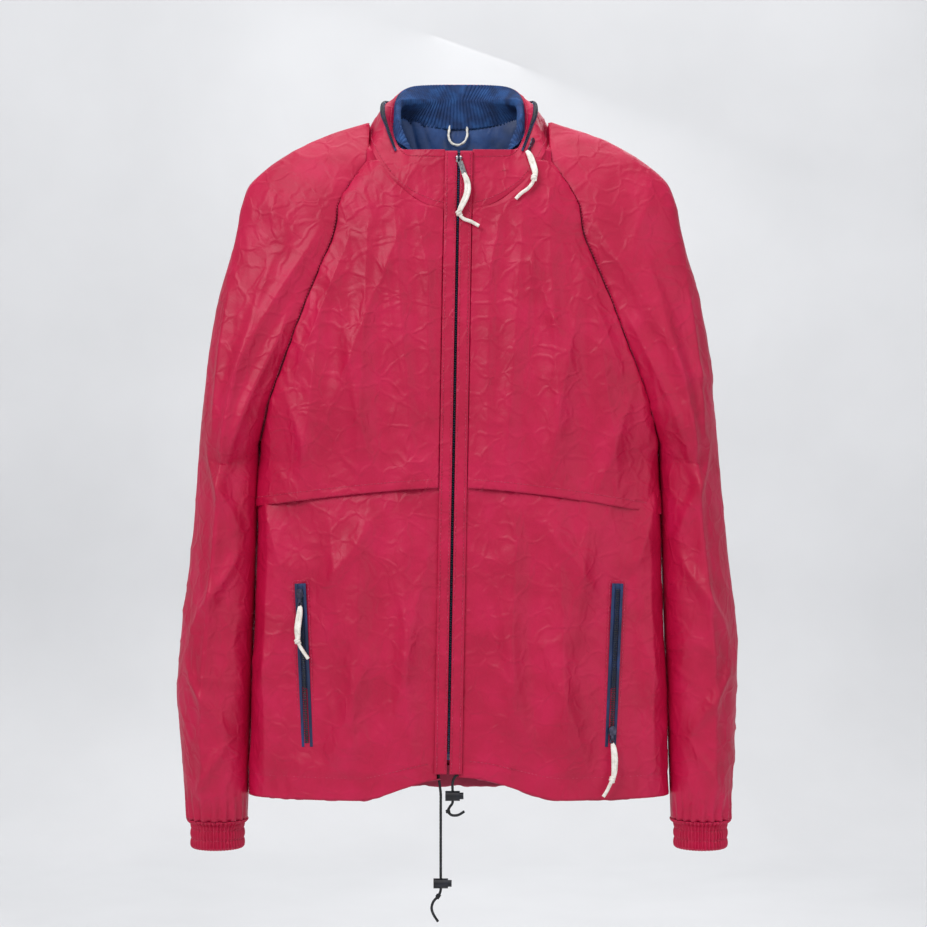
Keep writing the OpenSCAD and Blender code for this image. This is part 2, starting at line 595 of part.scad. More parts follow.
// Routes of the free cords, point by point as they hang
front_pull_route = [[5, -71.4, -62], [7, -71.4, -68], [8, -71.4, -76], [7, -71.4, -84],
                    [4, -71.4, -92], [1, -71.4, -99], [0, -71.4, -105], [5, -71.4, -111],
                    [13, -71.4, -114], [22, -71.4, -119]];
collar_pull_route = [[74.7, -52.4, -34.8], [76.4, -54.8, -39], [78, -58, -45], [80, -62, -52],
                     [82, -65, -59], [82, -68, -66], [80, -68.6, -72], [75, -69, -78], [68, -69, -83],
                     [62, -69, -89]];
pocket_left_route = [[168.4, -56, -686.1], [168.6, -58, -691], [168.8, -59.2, -697],
                     [169, -60, -703], [169, -60, -710], [169, -60, -717], [168, -60, -724],
                     [165, -60.6, -731], [162, -61, -737], [158, -62, -743]];
pocket_right_route = [[-175, -53.8, -535.4], [-176, -55.4, -540], [-177, -57, -546], [-178, -58, -553],
                      [-178.6, -58.6, -560], [-178, -58.6, -567], [-177, -58.8, -573],
                      [-174, -59, -579], [-170, -60, -585], [-165, -61.4, -592]];
long_end_route = [[-25.2, -58.6, -715.9], [-23, -56.6, -718], [-22, -56, -724], [-21, -56, -732],
                  [-20, -56, -741], [-20, -56, -750], [-20, -56, -759], [-20, -56, -768],
                  [-20, -56, -777], [-20, -56, -786],
                  [-20, -56, -795], [-20, -56, -804], [-20, -56, -813], [-20, -56, -822], [-20, -56, -831],
                  [-20, -56, -846], [-23, -56, -853], [-28, -56, -859], [-30, -56, -866], [-28, -56, -873],
                  [-23, -56, -881]];
short_end_route = [[3.2, -58.7, -713.9], [-1, -56.6, -718], [-5, -56, -723], [-7, -56, -729], [-7, -56, -738],
                   [-7, -56, -750], [-10, -56, -755], [-12, -56, -760], [-8, -56, -764], [-1, -56, -764],
                   [6, -56, -760]];
module pull_cord(route) { color("white") cord_tube(route, pull_cord_d); }
module front_pull_cord() { pull_cord(front_pull_route); }
module collar_pull_cord() { pull_cord(collar_pull_route); }
module pocket_cord_left() { pull_cord(pocket_left_route); }
module pocket_cord_right() { pull_cord(pocket_right_route); }
module drawcord_long_end() { color("black") cord_tube(long_end_route, drawcord_d); }
module drawcord_short_end() { color("black") cord_tube(short_end_route, drawcord_d); }

// Overhand knots, each drawn tight round its cord
pull_knot_r = 4;
drawcord_knot_r = 3;
module knot(place, r) { translate(place) sphere(r = r); }
module front_pull_knot() { color("white") knot(front_pull_route[6], pull_knot_r); }
module collar_pull_knot() { color("white") knot(collar_pull_route[5], pull_knot_r); }
module pocket_knot_left() { color("white") knot(pocket_left_route[6], pull_knot_r); }
module pocket_knot_right() { color("white") knot(pocket_right_route[6], pull_knot_r); }
module drawcord_long_knot() { color("black") knot(long_end_route[16], drawcord_knot_r); }
module drawcord_short_knot() { color("black") knot(short_end_route[7], drawcord_knot_r); }

// Cord locks: a barrel across the cord, with a sprung button that has a slot for the cord
lock_button_r = lock_d / 2 - 1.8;
lock_hole_r = drawcord_d / 2 + 0.8;
lock_press = 3;
lock_wall = 1.2;
long_lock_place = [-20, -56, -839];
short_lock_place = [-7, -56, -743];
module lock_barrel(place) {
    color("black") translate(place) difference() {
        translate([-lock_len / 2, 0, 0]) rotate([0, 90, 0]) cylinder(r = lock_d / 2, h = lock_len);
        translate([-lock_len / 2 + lock_wall, 0, 0]) rotate([0, 90, 0])
            cylinder(r = lock_button_r + pin_gap, h = lock_len);
        translate([0, 0, -lock_d]) cylinder(r = lock_hole_r, h = 2 * lock_d);
    }
}
module lock_button(place) {
    color("black") translate(place) difference() {
        translate([-lock_len / 2 + lock_wall + lock_press + 0.4, 0, 0]) rotate([0, 90, 0])
            cylinder(r = lock_button_r, h = lock_len - lock_wall - 0.4 + 1);
        box([-drawcord_d / 2 - 0.4, -drawcord_d / 2 - 0.6, -lock_d],
            [drawcord_d / 2 + 0.4 + lock_press, drawcord_d / 2 + 0.6, lock_d]);
    }
}
module lock_barrel_long() { lock_barrel(long_lock_place); }
module lock_barrel_short() { lock_barrel(short_lock_place); }
module lock_button_long() { lock_button(long_lock_place); }
module lock_button_short() { lock_button(short_lock_place); }

front_panel_left();
front_panel_right();
back_panel();
shoulder_left();
shoulder_right();
yoke_left();
yoke_right();
storm_flap_left();
storm_flap_right();
sleeve_left();
sleeve_right();
cuff_left();
cuff_right();
cuff_elastic_left();
cuff_elastic_right();
front_lining();
back_lining();
collar_shell();
collar_lining();
stowed_hood();
collar_zip_tape();
collar_zip_coil();
placket_left();
placket_right();
front_zip_tapes();
front_zip_coils();
front_zip_stop();
pocket_welt_left();
pocket_welt_right();
pocket_coil_left();
pocket_coil_right();
pocket_bag_left();
pocket_bag_right();
hem_facing();
hem_drawcord();
hang_loop();
neck_label();
front_slider();
front_pull_tab();
front_pull_cord();
front_pull_knot();
collar_slider();
collar_pull_cord();
collar_pull_knot();
pocket_slider_left();
pocket_slider_right();
pocket_cord_left();
pocket_cord_right();
pocket_knot_left();
pocket_knot_right();
drawcord_long_end();
drawcord_short_end();
drawcord_long_knot();
drawcord_short_knot();
lock_barrel_long();
lock_barrel_short();
lock_button_long();
lock_button_short();
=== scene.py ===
"""Looks of a foul weather jacket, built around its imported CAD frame.

Cloth pieces are surfaces of two parameters, worked out with numpy as whole arrays in millimetres in the CAD's
own frame: the front faces -Y, +X is the wearer's left, and the origin is where a hanger carries the neck.
"""
import logging
from dataclasses import dataclass, replace
from enum import Enum
from typing import Sequence

import bpy
import numpy as np
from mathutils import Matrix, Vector


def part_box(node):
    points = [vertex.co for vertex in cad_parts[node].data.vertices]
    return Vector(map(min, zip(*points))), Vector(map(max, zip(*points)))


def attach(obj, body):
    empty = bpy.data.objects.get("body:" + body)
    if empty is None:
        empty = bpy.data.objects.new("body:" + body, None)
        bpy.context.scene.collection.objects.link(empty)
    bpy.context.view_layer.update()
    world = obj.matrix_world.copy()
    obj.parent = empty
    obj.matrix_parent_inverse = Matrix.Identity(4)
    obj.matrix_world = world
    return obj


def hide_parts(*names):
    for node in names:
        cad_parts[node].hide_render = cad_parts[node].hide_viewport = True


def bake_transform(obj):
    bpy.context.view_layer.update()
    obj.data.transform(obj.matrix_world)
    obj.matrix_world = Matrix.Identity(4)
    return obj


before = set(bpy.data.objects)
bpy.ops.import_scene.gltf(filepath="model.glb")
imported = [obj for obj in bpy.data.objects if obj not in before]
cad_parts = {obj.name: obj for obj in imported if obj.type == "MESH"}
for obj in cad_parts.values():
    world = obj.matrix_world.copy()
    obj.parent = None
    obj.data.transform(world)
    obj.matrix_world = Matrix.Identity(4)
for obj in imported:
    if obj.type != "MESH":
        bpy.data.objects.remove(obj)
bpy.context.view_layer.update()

log = logging.getLogger("jacket")
Array = np.ndarray
MM = 0.001
STEP = 0.004
RADIUS_MM = 500  # half of a diameter in metres, as millimetres


class Side(Enum):
    """The wearer's side that a piece is on, as the sign of its X."""

    LEFT = 1
    RIGHT = -1

    @property
    def word(self) -> str:
        """The side's name as CAD nodes spell it."""
        return self.name.lower()


class Face(Enum):
    """The front or the back of the body, as the sign of its Y."""

    FRONT = -1
    BACK = 1


# ---------------------------------------------------------------- curves and noise


def mix(a: Array | float, b: Array | float, t: Array | float) -> Array | float:
    """The value a share t of the way from a to b."""
    return a + (b - a) * t


def ramp(x: Array | float, low: float, high: float) -> Array:
    """Rises smoothly from 0 at low to 1 at high, as 3t² - 2t³."""
    t = np.clip((np.asarray(x, float) - low) / (high - low), 0, 1)
    return t * t * (3 - 2 * t)


def eased(x: Array | float, table: Sequence[tuple[float, float]]) -> Array:
    """Passes a smooth curve through a table's points.

    Between two points it is a cubic Hermite piece whose end slopes are the harmonic mean of the slopes on
    either side, so that it never overshoots.

    Args:
        x: Where the curve is read.
        table: Points in rising order of their first number.

    Returns:
        The curve's height at x, held flat beyond the table's ends.
    """
    xs, ys = np.array(table, float).T
    gaps = np.diff(xs)
    rise = np.diff(ys) / gaps
    slopes = np.zeros_like(xs)
    turning = rise[:-1] * rise[1:] > 0
    slopes[1:-1] = np.where(turning, 2 * rise[:-1] * rise[1:] / np.where(turning, rise[:-1] + rise[1:], 1), 0)
    slopes[0], slopes[-1] = rise[0], rise[-1]
    x = np.clip(np.asarray(x, float), xs[0], xs[-1])
    i = np.clip(np.searchsorted(xs, x, side="right") - 1, 0, len(gaps) - 1)
    t = (x - xs[i]) / gaps[i]
    return ((1 + 2 * t) * (1 - t) ** 2 * ys[i] + t * (1 - t) ** 2 * gaps[i] * slopes[i]
            + t * t * (3 - 2 * t) * ys[i + 1] + t * t * (t - 1) * gaps[i] * slopes[i + 1])


def scattered(cell: Array, seed: int) -> Array:
    """A fixed pseudo-random number from -1 to 1 for each whole-numbered cell, by mixing the bits of its place."""
    c = (cell + 4096).astype(np.uint64)
    n = c[..., 0] * np.uint64(73856093) ^ c[..., 1] * np.uint64(19349663) ^ c[..., 2] * np.uint64(83492791)
    n = (n ^ np.uint64(seed * 2654435 + 97)) & np.uint64(0xFFFFFFFF)
    for shift, factor in ((15, 2246822519), (13, 3266489917)):
        n = ((n ^ (n >> np.uint64(shift))) * np.uint64(factor)) & np.uint64(0xFFFFFFFF)
    return (n ^ (n >> np.uint64(16))) / 2.0**31 - 1


def noise(points: Array, size: float | Sequence[float], seed: int = 0) -> Array:
    """Value noise: scattered cell values blended with a quintic fade, from -1 to 1.

    Args:
        points: Places in millimetres, with three numbers in the last axis.
        size: Size of a cell in millimetres, one number or one for each axis.
        seed: Chooses the pattern.
    """
    p = points / np.asarray(size, float)
    cell = np.floor(p)
    f = p - cell
    f = f**3 * (f * (f * 6 - 15) + 10)
    total = np.zeros(points.shape[:-1])
    for corner in np.ndindex(2, 2, 2):
        far = np.array(corner)
        total += np.prod(np.where(far, f, 1 - f), axis=-1) * scattered(cell + far, seed)
    return total


def crinkle(points: Array, seed: int) -> Array:
    """Sharp fine creases: ridges where warped, slanted noise of three sizes changes sign, about 2 mm high in all."""
    warp = np.stack([noise(points, 70, seed + k) for k in (11, 12, 13)], axis=-1)
    warped = points + 16 * warp
    total = np.zeros(points.shape[:-1])
    for size, height, k in ((58, 1.9, 1), (27, 1.15, 2), (13, 0.6, 3)):
        drawn = warped * (1.0, 1.0, 0.55) + warped[..., 2:] * (0.35, 0.0, 0.0)
        crest = 1 - np.abs(noise(drawn, size, seed + k)) * 2.6
        total += height * np.clip(crest, 0, 1) ** 1.6
    return total * (0.65 + 0.5 * noise(points, 120, seed + 7))


@dataclass(frozen=True)
class Fold:
    """A fold of cloth between two places, in millimetres."""

    start: tuple[float, float]
    end: tuple[float, float]
    width: float
    height: float
    keen: float = 0.5

    def rise(self, x: Array, z: Array) -> Array:
        """Height of the fold: a crest that is part bell, part cusp across it, and swells from end to end."""
        a, b = np.array(self.start), np.array(self.end)
        run = b - a
        share = np.clip(((x - a[0]) * run[0] + (z - a[1]) * run[1]) / (run @ run), 0, 1)
        off = np.hypot(x - a[0] - share * run[0], z - a[1] - share * run[1]) / self.width
        crest = mix(np.exp(-off * off), np.exp(-1.6 * off), self.keen)
        return self.height * crest * np.sin(np.pi * np.clip(share * 0.92 + 0.04, 0, 1)) ** 0.7


def unit(vectors: Array) -> Array:
    """The vectors at length 1."""
    return vectors / np.maximum(np.linalg.norm(vectors, axis=-1, keepdims=True), 1e-12)


# ---------------------------------------------------------------- meshes


def make_object(name: str, points: Array, *faces: Array, smooth: bool = True) -> bpy.types.Object:
    """Puts points and faces into a mesh whose faces point outwards.

    Args:
        name: The piece's name.
        points: Vertices in millimetres.
        faces: Blocks of faces, each an array with one row of vertex numbers for a face.
        smooth: Whether the faces are shaded smooth.

    Returns:
        The new object, at the origin, with its place in its mesh in metres.
    """
    rows = [face for block in faces for face in block.tolist()]
    corners = np.concatenate([np.stack([b[:, 0], b[:, k], b[:, k + 1]], -1)
                              for b in faces for k in range(1, b.shape[1] - 1)])
    a, b, c = (points[corners[:, k]] - points.mean(axis=0) for k in range(3))
    if np.einsum("ij,ij->i", a, np.cross(b, c)).sum() < 0:
        rows = [row[::-1] for row in rows]
    mesh = bpy.data.meshes.new(name)
    mesh.from_pydata((points * MM).tolist(), [], rows)
    mesh.polygons.foreach_set("use_smooth", np.full(len(rows), smooth))
    mesh.update()
    piece = bpy.data.objects.new(name, mesh)
    bpy.context.scene.collection.objects.link(piece)
    return piece


def cells(rows: int, cols: int, ring: bool, first: int = 0) -> Array:
    """Quads of a grid of vertices numbered row by row from first, joined round if it is a ring."""
    r, c = np.meshgrid(np.arange(rows - 1), np.arange(cols if ring else cols - 1), indexing="ij")
    a, b = r * cols + c, r * cols + (c + 1) % cols
    return first + np.stack([a, a + cols, b + cols, b], axis=-1).reshape(-1, 4)


def shell(name: str, outer: Array, inner: Array, ring: bool = False) -> bpy.types.Object:
    """A closed thin wall between two grids of points of the same size.

    Args:
        name: The piece's name.
        outer: Grid of points, rows by columns by 3.
        inner: The same grid moved in by the wall's thickness.
        ring: Whether the last column joins the first.
    """
    rows, cols = outer.shape[:2]
    n = rows * cols
    loop = np.arange(cols)
    top = loop if ring else loop[:-1]
    after = (top + 1) % cols
    low = (rows - 1) * cols
    rims = [np.stack([top, after, n + after, n + top], -1),
            np.stack([low + after, low + top, n + low + top, n + low + after], -1)]
    if not ring:
        down = np.arange(rows - 1) * cols
        rims += [np.stack([down + cols, down, n + down, n + down + cols], -1),
                 np.stack([down + cols - 1, down + 2 * cols - 1, n + down + 2 * cols - 1,
                           n + down + cols - 1], -1)]
    points = np.concatenate([outer.reshape(-1, 3), inner.reshape(-1, 3)])
    return make_object(name, points, cells(rows, cols, ring), cells(rows, cols, ring, n)[:, ::-1], *rims)


def loft(name: str, rings: Array, smooth: bool = True) -> bpy.types.Object:
    """A closed body through rings of points, with flat ends."""
    rows, cols = rings.shape[:2]
    ends = np.stack([np.arange(cols), (rows - 1) * cols + np.arange(cols)[::-1]])
    return make_object(name, rings.reshape(-1, 3), cells(rows, cols, True), ends, smooth=smooth)


def capsules(name: str, starts: Array, ends: Array, up: Array, radius: float, arch: float = 0.0,
             sides: int = 6) -> bpy.types.Object:
    """Many small rounded bars in one mesh, such as stitches and zip teeth.

    Each is four rings of a radius that narrows at both ends, along a line that rises by arch in the middle.

    Args:
        name: The piece's name.
        starts: First ends, n by 3.
        ends: Second ends, n by 3.
        up: Direction away from what they lie on, n by 3 or one for all.
        radius: Their radius at the middle.
        arch: How far the middle rises.
        sides: Number of sides.
    """
    count = len(starts)
    ahead = unit(ends - starts)
    across = unit(np.cross(np.broadcast_to(up, starts.shape), ahead))
    lift = np.cross(ahead, across)
    share = np.array([0.0, 0.16, 0.84, 1.0])
    size = radius * np.array([0.45, 1.0, 1.0, 0.45])
    rise = arch * np.array([-0.4, 1.0, 1.0, -0.4])
    turn = 2 * np.pi * np.arange(sides) / sides
    centre = starts[:, None] + (ends - starts)[:, None] * share[:, None] + lift[:, None] * rise[:, None]
    ring = (np.cos(turn)[:, None] * across[:, None, None] + np.sin(turn)[:, None] * lift[:, None, None])
    points = centre[:, :, None] + size[:, None, None] * ring
    first = np.arange(count)[:, None] * 4 * sides
    quads = (cells(4, sides, True)[None] + first[..., None]).reshape(-1, 4)
    caps = np.concatenate([first + np.arange(sides)[None], first + 3 * sides + np.arange(sides)[None, ::-1]])
    return make_object(name, points.reshape(-1, 3), quads, caps)


def along(path: Array, gap: float) -> Array:
    """Points at even steps of about gap along a line of points."""
    reach = np.concatenate([[0], np.cumsum(np.linalg.norm(np.diff(path, axis=0), axis=1))])
    at = np.linspace(0, reach[-1], max(int(reach[-1] / gap), 1) + 1)
    return np.stack([np.interp(at, reach, path[:, k]) for k in range(3)], axis=-1)


def stitch_row(name: str, path: Array, up: Array, length: float = 3.0, gap: float = 1.1,
               thread: float = 0.34) -> bpy.types.Object:
    """A row of lockstitches along a line of points: bars of a stitch length with short gaps between them."""
    marks = along(path, length + gap)
    ahead = unit(np.diff(marks, axis=0))
    return capsules(name, marks[:-1] + ahead * gap / 2, marks[1:] - ahead * gap / 2, up, thread, arch=0.12)


def smooth_line(points: Array, per_span: int = 8) -> Array:
    """A Catmull-Rom curve through the points: each span is the cubic set by its ends and their neighbours."""
    padded = np.concatenate([[2 * points[0] - points[1]], points, [2 * points[-1] - points[-2]]])
    t = np.linspace(0, 1, per_span, endpoint=False)[:, None, None]
    a, b, c, d = (padded[k : len(padded) - 3 + k] for k in range(4))
    spans = 0.5 * (2 * b + (c - a) * t + (2 * a - 5 * b + 4 * c - d) * t**2 + (3 * b - a - 3 * c + d) * t**3)
    return np.concatenate([spans.transpose(1, 0, 2).reshape(-1, 3), points[-1:]])


def tube_rings(path: Array, radius: Array | float, sides: int, reference: Sequence[float],
               twist: Array | float = 0.0) -> Array:
    """Rings of points round a line: each lies square to the line, and starts square to a reference direction."""
    ahead = unit(np.gradient(path, axis=0))
    side = unit(np.cross(ahead, np.asarray(reference, float)))
    over = np.cross(ahead, side)
    turn = 2 * np.pi * np.arange(sides) / sides + np.asarray(twist, float).reshape(-1, 1)
    size = np.asarray(radius, float)
    size = size.reshape(-1, 1) if size.ndim < 2 else size
    ring = np.cos(turn)[..., None] * side[:, None] + np.sin(turn)[..., None] * over[:, None]
    return path[:, None] + (size * np.ones_like(turn))[..., None] * ring


# ---------------------------------------------------------------- finishes


def linear(hex_colour: str) -> tuple[float, float, float, float]:
    """An sRGB colour written as six hex digits, turned to linear light."""
    parts = np.array([int(hex_colour[k : k + 2], 16) / 255 for k in (0, 2, 4)])
    light = np.where(parts <= 0.04045, parts / 12.92, ((parts + 0.055) / 1.055) ** 2.4)
    return (*(float(v) for v in light), 1.0)


def add_node(tree: bpy.types.NodeTree, kind: str, inputs: dict | None = None, **settings) -> bpy.types.Node:
    """Adds a node with its settings, and fills each named input from a socket or a plain value."""
    node = tree.nodes.new(kind)
    for key, value in settings.items():
        setattr(node, key, value)
    for key, value in (inputs or {}).items():
        if isinstance(value, bpy.types.NodeSocket):
            tree.links.new(value, node.inputs[key])
        else:
            node.inputs[key].default_value = value
    return node


@dataclass(frozen=True)
class Finish:
    """What a made material shares: its name, its colours from dark to light, and the shader's own values."""

    name: str
    shade: str
    body: str
    tint: str
    roughness: float
    sheen: float = 0.0
    metallic: float = 0.0
    ior: float = 1.5
    coat: float = 0.0
    cloud_mm: float = 60.0
    bumps: tuple[tuple[float, float, float], ...] = ()
    creases: float = 0.0
    stretch: tuple[float, float, float] = (1.0, 1.0, 1.0)

    def build(self) -> bpy.types.Material:
        """Makes the material.

        Soft clouds of noise mix the three colours. Each bump is noise of a size in millimetres with a depth in
        millimetres and a detail, and creases add sharp lines between warped cells.
        """
        material = bpy.data.materials.new(self.name)
        material.use_nodes = True
        tree = material.node_tree
        tree.nodes.clear()
        place = add_node(tree, "ShaderNodeTexCoord").outputs["Object"]
        place = add_node(tree, "ShaderNodeMapping", {"Vector": place, "Scale": self.stretch}).outputs["Vector"]
        cloud = add_node(tree, "ShaderNodeTexNoise", {"Vector": place, "Scale": 1 / (self.cloud_mm * MM),
                                                      "Detail": 4.0, "Roughness": 0.55}).outputs["Fac"]
        ramp_node = add_node(tree, "ShaderNodeValToRGB", {"Fac": cloud})
        stops = ramp_node.color_ramp.elements
        stops[0].position, stops[0].color = 0.34, linear(self.shade)
        stops[1].position, stops[1].color = 0.66, linear(self.tint)
        stops.new(0.5).color = linear(self.body)
        rough = add_node(tree, "ShaderNodeMapRange", {"Value": cloud, "To Min": self.roughness - 0.05,
                                                      "To Max": self.roughness + 0.05}).outputs["Result"]
        normal = None
        for size, depth, detail in self.bumps:
            height = add_node(tree, "ShaderNodeTexNoise", {"Vector": place, "Scale": 1 / (size * MM),
                                                           "Detail": detail, "Distortion": 0.7}).outputs["Fac"]
            normal = self._bump(tree, height, depth, normal)
        if self.creases:
            shift = add_node(tree, "ShaderNodeTexNoise", {"Vector": place, "Scale": 28.0, "Detail": 2.0})
            bent = add_node(tree, "ShaderNodeVectorMath", {0: shift.outputs["Color"], 1: (0.03, 0.03, 0.03)},
                            operation="MULTIPLY").outputs["Vector"]
            bent = add_node(tree, "ShaderNodeVectorMath", {0: place, 1: bent}, operation="ADD").outputs["Vector"]
            edge = add_node(tree, "ShaderNodeTexVoronoi", {"Vector": bent, "Scale": 42.0},
                            feature="DISTANCE_TO_EDGE").outputs["Distance"]
            line = add_node(tree, "ShaderNodeMapRange", {"Value": edge, "From Max": 0.16},
                            interpolation_type="SMOOTHSTEP").outputs["Result"]
            normal = self._bump(tree, line, -self.creases, normal)
        shader = add_node(tree, "ShaderNodeBsdfPrincipled", {
            "Base Color": ramp_node.outputs["Color"], "Roughness": rough, "Metallic": self.metallic,
            "IOR": self.ior, "Sheen Weight": self.sheen, "Sheen Roughness": 0.4,
            "Sheen Tint": linear(self.tint), "Coat Weight": self.coat})
        if normal is not None:
            tree.links.new(normal, shader.inputs["Normal"])
        add_node(tree, "ShaderNodeOutputMaterial", {"Surface": shader.outputs["BSDF"]})
        return material

    @staticmethod
    def _bump(tree: bpy.types.NodeTree, height: bpy.types.NodeSocket, depth: float,
              under: bpy.types.NodeSocket | None) -> bpy.types.NodeSocket:
        """Adds a bump of a depth in millimetres over an earlier one."""
        inputs = {"Height": height, "Distance": abs(depth) * MM, "Strength": 1.0}
        if under is not None:
            inputs["Normal"] = under
        return add_node(tree, "ShaderNodeBump", inputs, invert=depth < 0).outputs["Normal"]


# Thin satin-faced taffeta, calendered flat, that keeps every small crease it is given
CRIMSON_NYLON = Finish("crimson_nylon_taffeta", "B2063A", "BA083F", "C20C46", 0.47, sheen=0.02, cloud_mm=45,
                       bumps=((22.0, 0.9, 4.0), (4.0, 0.16, 3.0)), creases=0.4, ior=1.42)
# The same cloth seen from behind, where its coating is duller and paler
CRIMSON_BACKING = Finish("crimson_coated_backing", "9C1D3E", "AC2547", "B83A5C", 0.6, sheen=0.1, cloud_mm=45,
                         bumps=((26.0, 0.8, 4.0),))
# Lining nylon, soft and slightly shiny
NAVY_LINING = Finish("navy_lining_nylon", "143566", "1B4380", "2A5797", 0.48, sheen=0.2, cloud_mm=40,
                     bumps=((22.0, 1.0, 4.0), (4.0, 0.1, 2.0)), creases=0.12)
# Rib knit: a dull spun yarn, whose loops are drawn at 1.2 mm so that they show
NAVY_RIB = Finish("navy_rib_knit", "0E2A56", "173B70", "24508A", 0.82, sheen=0.4, cloud_mm=14,
                  bumps=((1.2, 0.25, 1.0),))
# Woven zip tape with a hard flat face
NAVY_TAPE = Finish("navy_woven_tape", "10203F", "182C52", "22396A", 0.68, sheen=0.25, cloud_mm=12,
                   bumps=((1.0, 0.14, 1.0),), stretch=(1.0, 1.0, 0.35))
# Moulded nylon coil, nearly black and glossy
ZIP_COIL = Finish("moulded_nylon_coil", "0A0F1D", "10182B", "1B2540", 0.32, cloud_mm=8, ior=1.53)
# Die-cast zinc under purple-grey lacquer, a little worn
LACQUERED_ZINC = Finish("lacquered_zinc", "2B2A3A", "3C3A50", "5B5970", 0.34, metallic=0.55, coat=0.4, cloud_mm=5,
                        bumps=((3.0, 0.05, 2.0),))
# Aluminium, stamped and tumbled
STAMPED_ALUMINIUM = Finish("stamped_aluminium", "8F9094", "B4B5B8", "D0D1D3", 0.3, metallic=1.0, cloud_mm=3,
                           bumps=((1.5, 0.04, 2.0),))
# Soft bleached cotton braid with a fuzzy surface
WHITE_COTTON = Finish("white_cotton_braid", "D8D2C8", "EDE9E1", "F8F5EF", 0.9, sheen=0.5, cloud_mm=7,
                      bumps=((0.9, 0.12, 2.0),))
# Elastic drawcord: polyester braided over rubber
BLACK_BRAID = Finish("black_elastic_braid", "07080B", "101217", "20232C", 0.62, sheen=0.3, cloud_mm=4,
                     bumps=((0.8, 0.1, 1.0),))
# Acetal lock bodies, moulded with a fine spark-eroded grain
MOULDED_ACETAL = Finish("moulded_acetal", "0B0C12", "12141C", "1C1F2B", 0.38, cloud_mm=9,
                        bumps=((0.7, 0.03, 2.0),))
# Narrow woven elastic, black with its rubber cores just showing
WOVEN_ELASTIC = Finish("woven_elastic", "0C0C0E", "151517", "232326", 0.75, cloud_mm=6, bumps=((1.2, 0.15, 1.0),))
# Damask label, woven blank
WOVEN_LABEL = Finish("woven_label", "6385A3", "7C9BB5", "90ACC3", 0.6, sheen=0.2, cloud_mm=10,
                     bumps=((0.9, 0.08, 1.0),))
# Polyester sewing threads, a shade lighter or darker than their cloth
CRIMSON_THREAD = Finish("crimson_sewing_thread", "A3163A", "B8264C", "CE4468", 0.5, sheen=0.3, cloud_mm=4)
# Matt emulsion on a plastered wall
PALE_WALL = Finish("pale_wall_paint", "DEDFE1", "E2E3E5", "E6E7E9", 0.95, cloud_mm=700,
                   bumps=((18.0, 0.12, 3.0),))


class Wardrobe:
    """Builds each finish once and dresses pieces in it."""

    def __init__(self) -> None:
        """Starts with nothing built."""
        self._made: dict[str, bpy.types.Material] = {}

    def dress(self, piece: bpy.types.Object, finish: Finish) -> None:
        """Gives a piece one finish all over."""
        if finish.name not in self._made:
            self._made[finish.name] = finish.build()
        piece.data.materials.clear()
        piece.data.materials.append(self._made[finish.name])

    def node(self, name: str, finish: Finish) -> None:
        """Gives a CAD node one finish all over."""
        self.dress(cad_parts[name], finish)


WARDROBE = Wardrobe()


def fit(piece: bpy.types.Object, body: str, slot: str, finish: Finish, *nodes: str) -> bpy.types.Object:
    """Dresses a piece, rides it on its body and hides the CAD nodes it stands for."""
    WARDROBE.dress(piece, finish)
    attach(piece, body)
    if nodes:
        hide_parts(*nodes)
    log.info("%s: %d faces on %s", piece.name, len(piece.data.polygons), body)
    return piece


# ---------------------------------------------------------------- the cut


